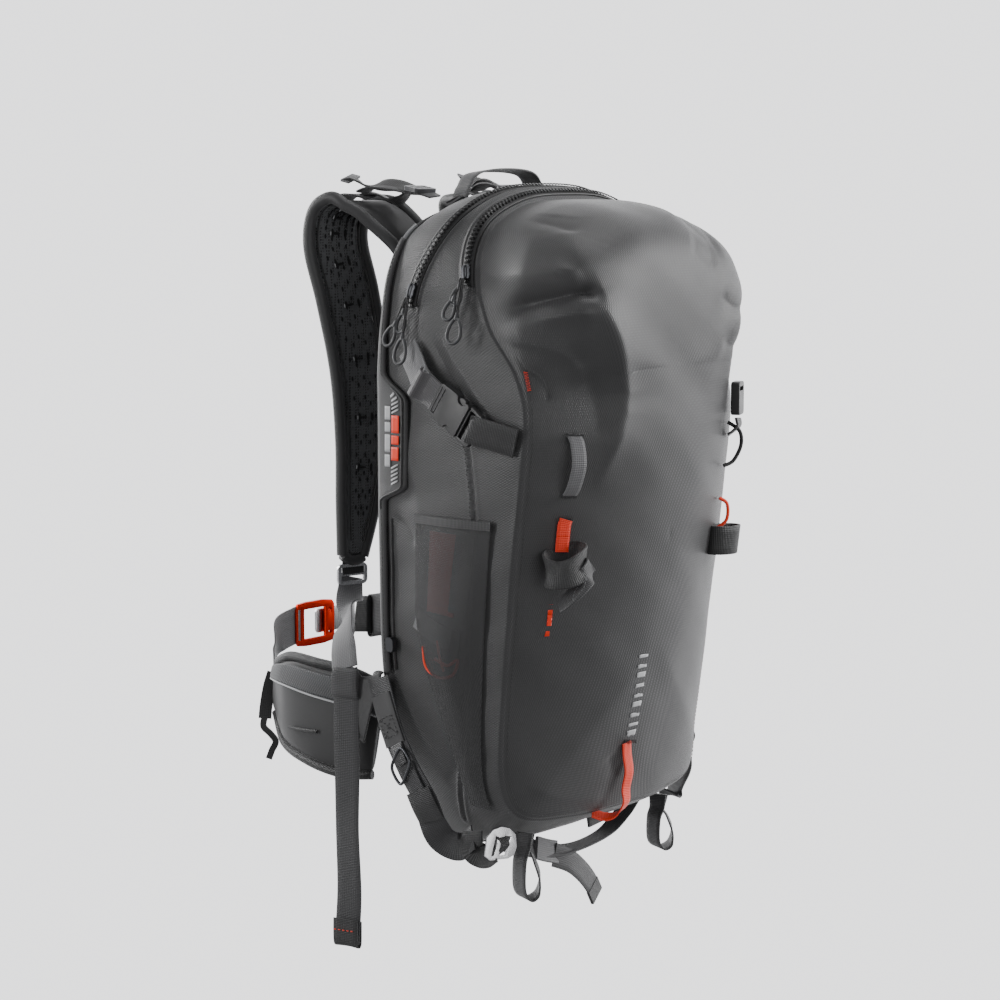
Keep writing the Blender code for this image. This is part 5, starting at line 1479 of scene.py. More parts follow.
def stuffed(piece, cap):
    """Swells a closed form like stuffed cloth, no point by more than cap, and subdivides it once."""
    remesh = piece.modifiers.new("even_squares", "REMESH")
    remesh.mode, remesh.voxel_size, remesh.use_smooth_shade = "VOXEL", VOXEL, True
    bpy.context.view_layer.update()
    even = bpy.data.meshes.new_from_object(piece.evaluated_get(bpy.context.evaluated_depsgraph_get()))
    piece.modifiers.clear()
    piece.data = even
    rest = np.array([v.co for v in even.vertices])
    cloth = piece.modifiers.new("stuffing", "CLOTH")
    cloth.settings.use_pressure = True
    cloth.settings.uniform_pressure_force = PRESSURE
    cloth.settings.effector_weights.gravity = 0
    cloth.settings.quality = 5
    cloth.point_cache.frame_start, cloth.point_cache.frame_end = 1, SETTLE_FRAMES
    scene = bpy.context.scene
    for step in range(1, SETTLE_FRAMES + 1):
        scene.frame_set(step)
    swollen = piece.evaluated_get(bpy.context.evaluated_depsgraph_get()).to_mesh()
    move = np.array([v.co for v in swollen.vertices]) - rest
    move -= move.mean(0)
    reach = np.linalg.norm(move, axis=1, keepdims=True)
    move *= np.minimum(1, cap / np.maximum(reach, 1e-9))
    piece.modifiers.clear()
    piece.data.vertices.foreach_set("co", (rest + move).astype(np.float32).ravel())
    scene.frame_set(1)
    return subdivided(piece)


def faced(piece, path, up, other):
    """The side of a padded piece that its path's face direction points to gets another cloth."""
    piece.data.materials.append(other)
    spots = placed(path)
    for polygon in piece.data.polygons:
        centre = np.array(polygon.center)
        k = np.argmin(((spots - centre) ** 2).sum(1))
        polygon.material_index = int((centre - spots[k]) @ up[k] > 0)


def spread_over(values, count):
    """Values at even stations, drawn smoothly over count points."""
    return spline_at(np.asarray(values, float)[:, None], np.linspace(0, len(values) - 1, count), False)[:, 0]


# %% [markdown]
# ## Shoulder harness
#
# Each shoulder strap is one foam pad that leaves the back, bends over the shoulder and hangs down. It has a
# thick rolled rim. Its inner face is knitted mesh with rows of short slots, and a ladder of tacks where the
# daisy chain outside is sewn through. Its pieces are baked in place and ride on no body.

# %% Shoulder straps
ARM = [(-0.052, 0.0285, 0.523), (-0.060, 0.046, 0.551), (-0.072, 0.069, 0.574)]
FALL = [(-0.0800, 0.0900, 0.5805), (-0.0840, 0.1015, 0.5765), (-0.0865, 0.1085, 0.5650),
        (-0.0865, 0.1100, 0.5400),
        (-0.0790, 0.1030, 0.4950), (-0.0710, 0.0960, 0.4300), (-0.0690, 0.0950, 0.3650),
        (-0.0730, 0.0970, 0.3050),
        (-0.0790, 0.0990, 0.2560)]
STRAP_FOAM, RIM = 0.0120, 0.0056
SLANT = np.array((0.966, -0.259, 0.0))


def strap_spine(count=120):
    """The strap's middle line, its width direction and its width, from the yoke to the lower tip."""
    path = curve_through(ARM + FALL, count)
    share = np.linspace(0, 1, count)
    across = np.array((1.0, 0.0, 0.0)) + (SLANT - np.array((1.0, 0.0, 0.0))) * smooth_step(0.0, 0.28,
            share)[:, None]
    widths = spread_over((0.056, 0.059, 0.062, 0.065, 0.066, 0.0665, 0.067, 0.0665, 0.063, 0.057, 0.047,
                          0.032), count)
    return path, across, widths


def bent(piece):
    """Bakes a piece of the harness into place where it lies."""
    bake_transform(piece)
    return piece


def free(piece):
    """Takes a piece off its body and leaves it where it is."""
    world = piece.matrix_world.copy()
    piece.parent = None
    piece.matrix_world = world
    if "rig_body" in piece:
        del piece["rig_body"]
    return piece


def shoulder_strap(prefix, side):
    path, across, widths = strap_spine()
    path, across = mirrored(path, side), mirrored(across, side)
    ahead, wide, _ = path_frames(path, across)
    core, face = loft(prefix + "_shoulder_pad", path, across, widths - 0.011,
                      np.full(len(path), STRAP_FOAM - 0.005), smooth_cloth)
    core = stuffed(core, 1.6 * MM)
    inward = face if side == LEFT else -face
    faced(core, path, -inward if (inward[60][1] > 0) else inward, pad_mesh)
    bent(core)
    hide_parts(prefix + "_shoulder_strap", prefix + "_strap_arm")
    towards_pack = -inward if (inward[60][1] > 0) else inward
    rims = []
    for k in (-1, 1):
        line = path + wide * (k * (widths / 2 - RIM * 0.9))[:, None]
        rims.append(tube(f"{prefix}_rim_{k}", line, RIM, smooth_cloth, "pack", resample=False, sides=14,
                         flat=1.02))
        seam = path + wide * (k * (widths / 2 - 2.05 * RIM))[:,
                None] + towards_pack * (STRAP_FOAM / 2 - 0.0012)
        rims.append(tube(f"{prefix}_rim_seam_{k}", seam[4:-4], 0.75 * MM, dark_thread, "pack", resample=False,
                         sides=6))
    tip = [path[-1] + wide[-1] * (k * (widths[-1] / 2 - RIM)) + ahead[-1] * (0.004 * (1 - k * k))
           for k in np.linspace(-1, 1, 9)]
    rims.append(tube(prefix + "_rim_tip", tip, RIM, smooth_cloth, "pack", resample=False, sides=14))
    rim = free(joined(prefix + "_strap_rim", rims))
    bent(rim)

    face_lift = STRAP_FOAM / 2 - 0.0004
    dashes, ladder, glints = [], [], []
    spots = np.linspace(0.24, 0.93, 56)
    for k, share in enumerate(spots):
        i = int(share * (len(path) - 1))
        for column in (-2, -1, 0, 1, 2):
            if (k + column) % 2:
                continue
            middle = path[i] + wide[i] * (column * (widths[i] - 0.030) / 5.2) + towards_pack[i] * face_lift
            dashes.append([middle - ahead[i] * 2.2 * MM, middle + ahead[i] * 2.2 * MM])
    for share in np.linspace(0.30, 0.86, 9):
        i = int(share * (len(path) - 1))
        middle = path[i] + towards_pack[i] * (face_lift + 0.0004)
        ladder.append([middle - wide[i] * 0.0068, middle + wide[i] * 0.0068])
        for k in (-1, 1):
            ladder.append([middle + wide[i] * (k * 0.0068) - ahead[i] * 4 * MM,
                           middle + wide[i] * (k * 0.0068) + ahead[i] * 4 * MM])
        glints.append([middle - wide[i] * 0.0088 * (1 if side == LEFT else -1) - ahead[i] * 2 * MM,
                       middle - wide[i] * 0.0088 * (1 if side == LEFT else -1) + ahead[i] * 2 * MM])
    # The slots and the tack ladder are near-black marks: painted shade standing in for holes and recesses.
    slots = sew(prefix + "_strap_slots", dashes, painted_shade_black, "pack", length=4.2 * MM, gap=0.1 * MM,
                radius=0.80 * MM)
    tacks = sew(prefix + "_strap_ladder", ladder, painted_shade_black, "pack", length=7.8 * MM, gap=0.1 * MM,
                radius=1.3 * MM)
    # Pale marks beside the tacks, in the light grey ink: painted highlights.
    ends = sew(prefix + "_strap_glints", glints, light_ink, "pack", length=3.8 * MM, gap=0.1 * MM,
               radius=0.55 * MM)
    for piece in (slots, tacks, ends):
        bent(free(piece))
    chain = path[26:112:1] - towards_pack[26:112:1] * (STRAP_FOAM / 2 + 0.0022)
    daisy = strap(prefix + "_daisy_chain", chain, across[26:112], 0.022, grey_webbing, None, resample=False,
                  thick=1.5 * MM)
    bent(daisy)
    return path, wide, towards_pack, widths


# Near-black for the slots and recesses: painted shade.
painted_shade_black = moulded_plastic("painted_shade_mesh_hollow", "#0e0e0f", 0.8)
spines = {}
for prefix, side in (("left", LEFT), ("right", RIGHT)):
    spines[prefix] = shoulder_strap(prefix, side)
print("shoulder straps made")

# %% Load lifters and ladder locks
def load_lifter(prefix, side):
    """The thin strap from the top of the pack to the shoulder strap, through its adjuster."""
    line = [(-0.062, 0.0110, 0.5870), (-0.064, 0.0200, 0.5900), (-0.066, 0.0300, 0.5915),
            (-0.070, 0.0460, 0.5950), (-0.074, 0.0620, 0.5965),
            (-0.0775, 0.0745, 0.5950), (-0.0800, 0.0840, 0.5905)]
    lower = strap(prefix + "_lifter_webbing", mirrored(line, side),
                  mirrored([(1, 0, 0), (0.95, 0.1, 0.25), (1, 0, 0)], side), 0.020,
                  grey_webbing, None, count=44)
    bent(lower)
    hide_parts(prefix + "_load_lifter")
    tail = [(-0.0655, 0.0330, 0.5930), (-0.0690, 0.0480, 0.5965), (-0.0740, 0.0660, 0.5975),
            (-0.0780, 0.0800, 0.5965), (-0.0810, 0.0920, 0.6020),
            (-0.0830, 0.1000, 0.6040)]
    strap(prefix + "_lifter_tail", mirrored(tail, side),
          mirrored([(1, 0, 0.1), (0.85, 0.2, 0.5), (0.9, 0.1, -0.3), (0.95, 0, 0.2)], side),
                  0.020, dark_webbing, "pack", count=44)
    strap(prefix + "_lifter_tail_end", mirrored([tail[-2], tail[-1]], side),
          mirrored([(0.95, 0, 0.2), (0.95, 0, 0.2)], side), 0.0206,
                 lit_grey_webbing, "pack", count=4, thick=2.2 * MM)
    lock = axes_at(Vector(mirrored((-0.0648, 0.0265, 0.5935), side)), mirrored((1, 0, 0), side),
                   mirrored((-0.05, 0.95, 0.18), side))
    slots = [[(0.0105, y + 0.0016), (-0.0105, y + 0.0016), (-0.0105, y - 0.0016),
              (0.0105, y - 0.0016)] for y in (-0.0035, 0.0035)]
    moulded(prefix + "_lifter_lock", rounded_outline(0.028, 0.017, 0.003), 0.0042, lock, grey_acetal, "pack",
            holes=slots)
    loop = [(-0.0760, 0.0860, 0.5900), (-0.0710, 0.0700, 0.5880), (-0.0690, 0.0560, 0.5820),
            (-0.0660, 0.0480, 0.5850), (-0.0640, 0.0420, 0.5905)]
    strap(prefix + "_lifter_curl", mirrored(loop, side),
          mirrored([(0.95, 0.1, 0.2), (0.9, -0.1, -0.4), (0.95, 0, 0.3)], side), 0.016,
                 dark_webbing, "pack", count=36)


for prefix, side in (("left", LEFT), ("right", RIGHT)):
    load_lifter(prefix, side)
    lock = axes_at(Vector(mirrored((-0.0800, 0.0990, 0.2390), side)), mirrored(SLANT, side), UP)
    slots = [[(0.0120, y + 0.0022), (-0.0120, y + 0.0022), (-0.0120, y - 0.0022),
              (0.0120, y - 0.0022)] for y in (-0.0040, 0.0042)]
    piece = moulded(prefix + "_ladder_lock_frame", rounded_outline(0.032, 0.020, 0.005), 0.0036, lock,
                    bare_aluminium, "harness",
                    holes=slots, bevel=0.9 * MM)
    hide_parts(prefix + "_ladder_lock")
    strap(prefix + "_lock_webbing", mirrored([(-0.0785, 0.0985, 0.2600), (-0.0797, 0.0985, 0.2440),
                                              (-0.0800, 0.0975, 0.2390)], side),
          mirrored(SLANT, side), 0.023, dark_webbing, "harness", count=12)
print("lifters and ladder locks made")

# %% Webbing from the locks down to the pack
TAIL_LENGTHS = {"left": 0.248, "right": 0.150}


def anchor(prefix, side):
    """The twisted webbing, the sewn gusset it ends on, its keeper and its hanging tail."""
    line = [(-0.0800, 0.1010, 0.2360), (-0.0860, 0.0960, 0.2230), (-0.1030, 0.0830, 0.2090),
            (-0.1250, 0.0690, 0.1960),
            (-0.1400, 0.0540, 0.1800), (-0.1490, 0.0440, 0.1660)]
    turns = [SLANT, SLANT, (0.55, 0.05, 0.83), (0.15, -0.75, 0.62), (0.15, -0.96, 0.10), (0.20, -0.98, 0)]
    webbing = strap(prefix + "_adjuster_webbing", mirrored(line, side), mirrored(turns, side), 0.025,
                    lit_grey_webbing, None, count=56)
    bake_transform(webbing)
    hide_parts(prefix + "_anchor_strap")
    root = [(-0.1490, 0.0440, 0.1640), (-0.1478, 0.0380, 0.1500), (-0.1465, 0.0260, 0.1390),
            (-0.1462, 0.0120, 0.1340)]
    path = mirrored(curve_through(root, 20), side)
    across = mirrored(np.array((0.03, -0.15, 0.98)), side)
    _, wide, up = path_frames(path, across)
    grow = 0.024 + 0.044 * smooth_step(0.1, 1.0, np.linspace(0, 1, 20))
    grid = np.stack([path + wide * (u * grow)[:, None] + up * (0.0014 * math.cos(3 * u))
                     for u in np.linspace(-0.5, 0.5, 13)], 1)
    cloth_grid(prefix + "_anchor_gusset", grid, smooth_cloth, "pack", wall=1.6 * MM)
    for k in (-0.5, 0.5):
        tube(f"{prefix}_anchor_gusset_edge_{'low' if k < 0 else 'high'}", path + wide * (k * grow)[:, None],
             1.5 * MM, binding, "pack",
             resample=False, sides=8)
    top = np.array((-0.1525, 0.0390, 0.1620))
    keeper = [top + (0.0026, 0.001, 0.004), top + (-0.0020, 0, 0.004), top + (-0.0030, 0, -0.008),
              top + (-0.0020, 0, -0.020),
              top + (0.0026, 0.001, -0.020)]
    strap(prefix + "_tail_keeper", mirrored(keeper, side), mirrored((0.20, -0.98, 0), side), 0.0262,
          grey_webbing, prefix + "_tail",
          count=26)
    length = TAIL_LENGTHS[prefix]
    fall = [top + (x, y, -length * share) for x, y, share in
            ((0, 0, -0.02), (0, 0.0005, 0.15), (-0.001, -0.001, 0.37), (0.001, 0.001, 0.58),
             (0.001, -0.001, 0.80), (-0.0005, 0, 0.953), (-0.001, 0, 0.998))]
    sway = [(0.20, -0.98, 0), (0.28, -0.96, 0), (0.12, -0.99, 0), (0.24, -0.97, 0.02), (0.20, -0.98, 0)]
    tail = strap(prefix + "_tail_webbing", mirrored(fall, side), mirrored(sway, side), SIDE_WEB, grey_webbing,
                 prefix + "_tail", count=80)
    end = [top + (x, 0, z - length) for x, z in
           ((-0.0032, 0.0230), (-0.0034, 0.0070), (-0.0024, -0.0006), (0.0012, -0.0006), (0.0018, 0.0130),
            (0.0018, 0.0210))]
    strap(prefix + "_tail_fold", mirrored(end, side), mirrored(sway[-1], side), SIDE_WEB * 1.03, dark_webbing,
          prefix + "_tail", count=26,
          thick=1.4 * MM)
    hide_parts(prefix + "_strap_tail")
    tip = np.array(fall[-1]) + (-0.0022, 0, 0.0125)
    sew(prefix + "_tail_stitches", [mirrored([tip + np.array((0.20, -0.98, 0)) * k * 0.011 + (-0.0022, 0,
            0) for k in (-1, 0, 1)], side)],
        orange_thread, prefix + "_tail", radius=0.45 * MM)


for prefix, side in (("left", LEFT), ("right", RIGHT)):
    anchor(prefix, side)
print("anchors and tails made")

# %% Sternum strap and trigger
STERNUM_Y, STERNUM_Z = 0.1085, 0.3700
for prefix, side in (("left", LEFT), ("right", RIGHT)):
    ends = [(-0.0905, STERNUM_Y - 0.0030, STERNUM_Z), (-0.080, STERNUM_Y, STERNUM_Z),
            (-0.050, STERNUM_Y, STERNUM_Z),
            (-0.0110, STERNUM_Y, STERNUM_Z)]
    piece = strap("sternum_" + prefix + "_webbing", mirrored(ends, side), UP, 0.020, grey_webbing, "harness",
                  count=24)
    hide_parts("sternum_" + prefix + "_web")
    slide = axes_at(Vector(mirrored((-0.0740, STERNUM_Y + 0.0020, STERNUM_Z), side)), (0, 0, 1),
                    mirrored((1, 0, 0), side))
    moulded("sternum_" + prefix + "_rail_slide", rounded_outline(0.026, 0.012, 0.003), 0.0030, slide,
            grey_acetal, "harness",
            holes=[[(0.0105, 0.0012), (-0.0105, 0.0012), (-0.0105, -0.0012), (0.0105, -0.0012)]])
level = STERNUM_Y + 0.0016 / 2 + 0.0004 + 0.004
place = axes_at(Vector((-0.0075, level, STERNUM_Z)), (1, 0, 0), (0, 0, 1))
half = [(-0.0125, 0.0100), (-0.0110, 0.0122), (-0.0010, 0.0130),
        *arc_points(0.0035, 0.0135, 0.0036, 190, 350), (0.0085, 0.0128), (0.0095, 0.0118)]
piece = moulded("sternum_buckle_female", half_turned(half), 0.0076, place, acetal, "harness", bevel=1.0 * MM,
                holes=[[(-0.0110, 0.0088), (-0.0082, 0.0088), (-0.0082, -0.0088), (-0.0110, -0.0088)]])
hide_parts("sternum_female")
place = axes_at(Vector((0.0020, level, STERNUM_Z)), (1, 0, 0), (0, 0, 1))
half = [(-0.0100, 0.0070), *arc_points(-0.0060, 0.0108, 0.0018, 180, 60, 3), (0.0008, 0.0090),
        (0.0009, 0.0125), (0.0120, 0.0125), (0.0138, 0.0110)]
piece = moulded("sternum_buckle_male", half_turned(half), 0.0040, place, acetal, "sternum_male",
                bevel=0.7 * MM,
                holes=[[(0.0050, 0.0098), (0.0085, 0.0098), (0.0085, -0.0098), (0.0050, -0.0098)]])
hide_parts("sternum_male")

TRIGGER_CENTRE, TRIGGER_AXIS = (-0.0775, 0.1170, 0.4780), (-0.12, 0.105, 1)
place = axes_at(TRIGGER_CENTRE, SLANT, TRIGGER_AXIS)
grip = [(-0.0070, 0.0400), (-0.0070, 0.0020), *arc_points(-0.0060, -0.0180, 0.0050, 150, 230),
        (-0.0062, -0.0370),
        *arc_points(0, -0.0375, 0.0062, 190, 350), (0.0062, -0.0370),
        *arc_points(0.0060, -0.0180, 0.0050, -50, 30), (0.0070, 0.0020), (0.0070, 0.0400)]
finger_hole = [(0.0026 * math.cos(a), -0.0330 + 0.0026 * math.sin(a))
               for a in (math.tau * k / 16 for k in range(16))]
piece = moulded("trigger_grip", grip, 0.0100, place, orange_acetal, "trigger_handle", holes=[finger_hole],
                bevel=2.2 * MM, segments=4)
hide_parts("trigger_handle")
trigger_up = unit(np.array(TRIGGER_AXIS))
trigger_out = unit(np.cross(trigger_up, SLANT)) * -1
if trigger_out[1] < 0:
    trigger_out = -trigger_out
sleeve_mid = np.array(TRIGGER_CENTRE) + trigger_up * 0.026
sleeve_path = [sleeve_mid + SLANT * (0.0115 * math.cos(a)) + trigger_out * (0.0078 * math.sin(a))
               for a in np.linspace(0, math.tau, 28, endpoint=False)]
strap("trigger_sleeve", sleeve_path, trigger_up, 0.030, dark_webbing, "harness", cyclic=True, resample=False,
      thick=1.4 * MM)
print("sternum strap and trigger made")

# %% [markdown]
# ## Hip belt
#
# Each wing is foam in cloth that wraps round the waist. A band of diagonal weave runs under its top binding
# with a pale piping below it, and a slit pocket is set in the panel. The closed buckle is a flat frame of
# red anodised aluminium, and a T shaped hook of bare aluminium passes through its window.

# %% Wings
WING = [(-0.1250, 0.0255, 0.1070), (-0.1330, 0.0560, 0.1120), (-0.1370, 0.0960, 0.1180),
        (-0.1310, 0.1340, 0.1240),
        (-0.1160, 0.1620, 0.1300)]
WING_HEIGHT, WING_FOAM = 0.098, 0.012


def wing_shape(count=90):
    path = curve_through(WING, count)
    return path, spread_over((0.84, 0.98, 0.96, 0.86, 0.52), count) * WING_HEIGHT


WING_PATH, WING_WIDTHS = wing_shape()
_, WING_UP, WING_OUT = path_frames(WING_PATH, UP)
if WING_OUT[40][0] > 0:
    WING_OUT = -WING_OUT


def wing_spot(u, v, lift, side):
    """A point on a wing's outer face: u along it from the back, v across it from -1 low to 1 high."""
    u, v = np.broadcast_arrays(np.asarray(u, float), np.asarray(v, float))
    k = u * (len(WING_PATH) - 1)
    path, up, out = (spline_at(row, k, False) for row in (WING_PATH, WING_UP, WING_OUT))
    half = spline_at(WING_WIDTHS[:, None], k, False)[..., 0] / 2
    crown = WING_FOAM / 2 * np.sqrt(np.clip(1 - np.abs(v) ** 3.2, 0, 1))
    return mirrored(path + up * (v * half)[..., None] + out * (crown + lift)[..., None], side)


def hip_wing(prefix, side):
    path, up = mirrored(WING_PATH, side), mirrored(WING_UP, side)
    core, _ = loft(prefix + "_wing_pad", path, up, WING_WIDTHS - 0.008, np.full(len(path), WING_FOAM - 0.003),
                   smooth_cloth)
    core = subdivided(core)
    inward = -mirrored(WING_OUT, side)
    faced(core, path, inward, pad_mesh)
    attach(core, "hip_belt")
    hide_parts(prefix + "_hip_wing")
    run = np.linspace(0.0, 1.0, 70)
    rims = []
    for v in (-1, 1):
        edge = wing_spot(run, v * np.ones(70), -0.0002, side)
        rims.append(tube(f"{prefix}_wing_rim_{v}", edge, 4.4 * MM, binding, "hip_belt", resample=False,
                         sides=12))
    tip = wing_spot(np.ones(14), np.linspace(-1, 1, 14), -0.006, side)
    rims.append(tube(prefix + "_wing_rim_tip", tip, 4.4 * MM, binding, "hip_belt", resample=False, sides=12))
    joined(prefix + "_wing_binding", rims)
    u_grid, v_grid = np.meshgrid(np.linspace(0.02, 0.97, 60), np.linspace(0.40, 0.84, 12), indexing="xy")
    grid = wing_spot(u_grid, v_grid, 0.0016, side)
    cloth_grid(prefix + "_wing_twill_band", grid if side == LEFT else grid[:, ::-1], wing_twill, "hip_belt",
               wall=0.8 * MM)
    tube(prefix + "_wing_piping", wing_spot(run[1:-2], 0.37 * np.ones(67), 0.0014, side), 1.1 * MM, light_ink,
         "hip_belt",
         resample=False, sides=8)
    slit = wing_spot(np.linspace(0.42, 0.64, 20), np.linspace(-0.30, -0.46, 20), 0.0012, side)
    tube(prefix + "_wing_pocket_slit", slit, 1.5 * MM, dark_webbing, "hip_belt", resample=False, sides=8)
    for k, v in enumerate((0.88, -0.86)):
        sew(f"{prefix}_wing_stitches_{k}", [wing_spot(run[2:-2], v * np.ones(66), 0.0014, side)], dark_thread,
            "hip_belt", radius=0.26 * MM)


wing_twill = staggered_rib("diagonal_rib_band", "#303133", "#57585a", 0.5, 2.6 * MM, 0.30 * MM, 0.1)
for prefix, side in (("left", LEFT), ("right", RIGHT)):
    hip_wing(prefix, side)
print("hip wings made")

# %% Belt webbing and buckle
WAIST_DEPTH, HOOK_STEP, WAIST_LEVEL = 0.205, 0.0052, 0.1740
left_run = [(-0.1120, 0.1660, 0.1310), (-0.1040, 0.1770, 0.1370), (-0.0940, 0.1880, 0.1500),
            (-0.0760, 0.2000, 0.1680),
            (-0.0500, 0.2050, 0.1740), (-0.0450, 0.2056, 0.1740)]
left_web = strap("left_belt_webbing", left_run, [(0, 0.05, 1), (0.1, 0.2, 1), (0.25, 0.1, 1), (0, 0, 1),
                                                 (0, 0, 1)], 0.036,
                 lit_grey_webbing, "hip_belt", count=60)
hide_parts("left_belt_web")
right_run = mirrored([(-0.1120, 0.1660, 0.1310), (-0.1040, 0.1775, 0.1380), (-0.0940, 0.1895, 0.1500),
                      (-0.0760, 0.2030, 0.1680),
                      (-0.0430, WAIST_DEPTH + HOOK_STEP, WAIST_LEVEL)], RIGHT)
right_web = strap("right_belt_webbing", right_run, [(0, 0.05, 1), (-0.1, 0.2, 1), (0, 0, 1), (0, 0, 1)],
                  0.036, dark_webbing, None, count=60)
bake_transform(right_web)
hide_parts("right_belt_web")
keeper_mid = np.array(mirrored((-0.0700, 0.2052, 0.1702), RIGHT))
keeper = [keeper_mid + (0, 0.0034, z) for z in (-0.0185, 0.0185)] + [keeper_mid + (0, -0.0034,
        z) for z in (0.0185, -0.0185)]
strap("right_belt_keeper", [keeper[0], keeper[0] + (0, 0, 0.018), keeper[1], keeper[2],
                            keeper[2] - (0, 0, 0.018), keeper[3]],
      (1, -0.12, 0), 0.020, grey_webbing, "hip_belt", count=60, cyclic=True, thick=1.3 * MM)
frame_place = axes_at(Vector((-0.0215, WAIST_DEPTH, WAIST_LEVEL)), (1, 0, 0), (0, 0, 1))
plate = [(-0.0270, 0.0150), (-0.0225, 0.0205), (-0.0120, 0.0215), (0.0120, 0.0215), (0.0240, 0.0200),
         (0.0270, 0.0160)]
window = [(-0.0150, 0.0145), (0.0150, 0.0145), (0.0150, -0.0145), (-0.0150, -0.0145)]
slot_hole = [(-0.0235, 0.0150), (-0.0198, 0.0150), (-0.0198, -0.0150), (-0.0235, -0.0150)]
eyes = [[(0.0212 + 0.0022 * math.cos(a), z + 0.0022 * math.sin(a))
         for a in (math.tau * k / 14 for k in range(14))] for z in (-0.0105, 0.0105)]
piece = moulded("waist_frame_plate", half_turned(plate), 0.0040, frame_place, red_aluminium, "hip_belt",
                holes=[window, slot_hole, *eyes],
                bevel=1.0 * MM)
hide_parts("waist_buckle_frame")
hook_place = axes_at(Vector((0.0145, WAIST_DEPTH + HOOK_STEP, WAIST_LEVEL)), (1, 0, 0), (0, 0, 1))
tongue = [(-0.0280, 0.0090), (-0.0260, 0.0118), (0.0060, 0.0118), (0.0085, 0.0190), (0.0110, 0.0200),
          (0.0245, 0.0200), (0.0260, 0.0180)]
web_hole = [(0.0170, 0.0178), (0.0205, 0.0178), (0.0205, -0.0178), (0.0170, -0.0178)]
piece = moulded("waist_hook_plate", half_turned(tongue), 0.0040, hook_place, bare_aluminium, "waist_hook",
                holes=[web_hole], bevel=0.9 * MM)
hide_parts("waist_buckle_hook")
tube("waist_frame_bar", [(-0.0425, WAIST_DEPTH + 0.0006, WAIST_LEVEL - 0.019),
                         (-0.0425, WAIST_DEPTH + 0.0006, WAIST_LEVEL + 0.019)], 2.2 * MM,
     bare_aluminium, "hip_belt", sides=12)
facing = (0.64, -0.77, 0)
strap("belt_tail_top", [(-0.1130, 0.1700, 0.1420), (-0.1160, 0.1730, 0.1280), (-0.1195, 0.1740, 0.1100),
                        (-0.1215, 0.1735, 0.0990)],
      [facing, (0.75, -0.65, 0), facing], 0.012, dark_webbing, "hip_belt", count=30, thick=2.0 * MM)
strap("belt_tail_loop", [(-0.1215, 0.1735, 0.1010), (-0.1240, 0.1730, 0.0920), (-0.1175, 0.1700, 0.0840),
                         (-0.1120, 0.1690, 0.0760),
                         (-0.1150, 0.1710, 0.0680), (-0.1185, 0.1720, 0.0600)], facing, 0.006, dark_webbing,
                         "hip_belt", count=44,
      thick=1.8 * MM)
print("belt webbing and buckle made")

# %% [markdown]
# ## Straps under the base
#
# A strap at each lower corner carries skis or a snowboard. The left one has a ladder of patches, a wire
# ring and two loops, and ends at a flat metal hook. Two loops hold the heads of ice axes, and a strap under
# the base joins the hook to the other side through a keeper and ends in a free tail.

# %% Left corner strap
side_turn = [(0, -0.89, 0.45), (0, -0.89, 0.45), (0.1, -0.75, 0.62), (0.25, -0.35, 0.90), (0.3, -0.2, 0.93)]
long_run = [(-0.1480, 0.0040, 0.1620), (-0.1500, -0.0140, 0.1180), (-0.1510, -0.0340, 0.0860),
            (-0.1490, -0.0520, 0.0600),
            (-0.1440, -0.0570, 0.0380), (-0.1340, -0.0600, 0.0220), (-0.1270, -0.0730, 0.0170),
            (-0.1260, -0.0880, 0.0280)]
corner = strap("left_corner_webbing", long_run, side_turn, 0.025, grey_webbing, "pack", count=90)
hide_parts("left_ski_strap")
strap("left_corner_cover", [(-0.1500, 0.0000, 0.1480), (-0.1515, -0.0110, 0.1240),
                            (-0.1525, -0.0200, 0.1060)], side_turn[0], 0.023,
      smooth_cloth, "pack", count=24, thick=1.8 * MM)
patch_mid, patch_ahead = np.array((-0.1535, -0.0125, 0.1210)), unit(np.array((-0.02, -0.45, -0.89)))
patch_side = unit(np.array((0, -0.89, 0.45)))
box = [patch_mid + patch_ahead * a + patch_side * b for a, b in
       ((-0.009, -0.008), (-0.009, 0.008), (0.009, 0.008), (0.009, -0.008), (-0.009, -0.008), (0.009, 0.008))]
sew("left_corner_box_stitches", [box, [box[1], box[3]]], dark_thread, "pack", radius=0.42 * MM)
strap("left_ring_webbing", [(-0.1515, -0.0200, 0.1080), (-0.1550, -0.0260, 0.0980),
                            (-0.1550, -0.0300, 0.0900)],
      side_turn[0], 0.014, grey_webbing, "pack", count=20, thick=2.4 * MM)
ring = [(-0.1560, -0.0300, 0.1045), (-0.1565, -0.0400, 0.0945), (-0.1565, -0.0370, 0.0830),
        (-0.1560, -0.0290, 0.0720),
        (-0.1560, -0.0190, 0.0840), (-0.1560, -0.0230, 0.0960)]
tube("left_wire_ring", ring, 1.4 * MM, slider_zinc, "pack", cyclic=True, count=70, sides=12)
strap("left_corner_inner", [(-0.1530, -0.0330, 0.0900), (-0.1535, -0.0430, 0.0740),
                            (-0.1520, -0.0500, 0.0640)], side_turn[0], 0.016,
      grey_webbing, "pack", count=24, thick=1.8 * MM)
strap("left_corner_keeper", [(-0.1545, -0.0480, 0.0690), (-0.1530, -0.0540, 0.0560),
                             (-0.1480, -0.0590, 0.0420)], side_turn[1], 0.028,
      dark_webbing, "pack", count=24, thick=1.8 * MM)
second = [(-0.1260, -0.0870, 0.0330), (-0.1290, -0.0900, 0.0180), (-0.1270, -0.0980, 0.0130),
          (-0.1280, -0.1080, 0.0150), (-0.1300, -0.1160, 0.0210)]
strap("left_hook_webbing", second, [(0.2, -0.4, 0.9), (0.35, -0.3, 0.88), (0.1, -0.1, 0.98)], 0.022,
      dark_webbing, "pack", count=50)

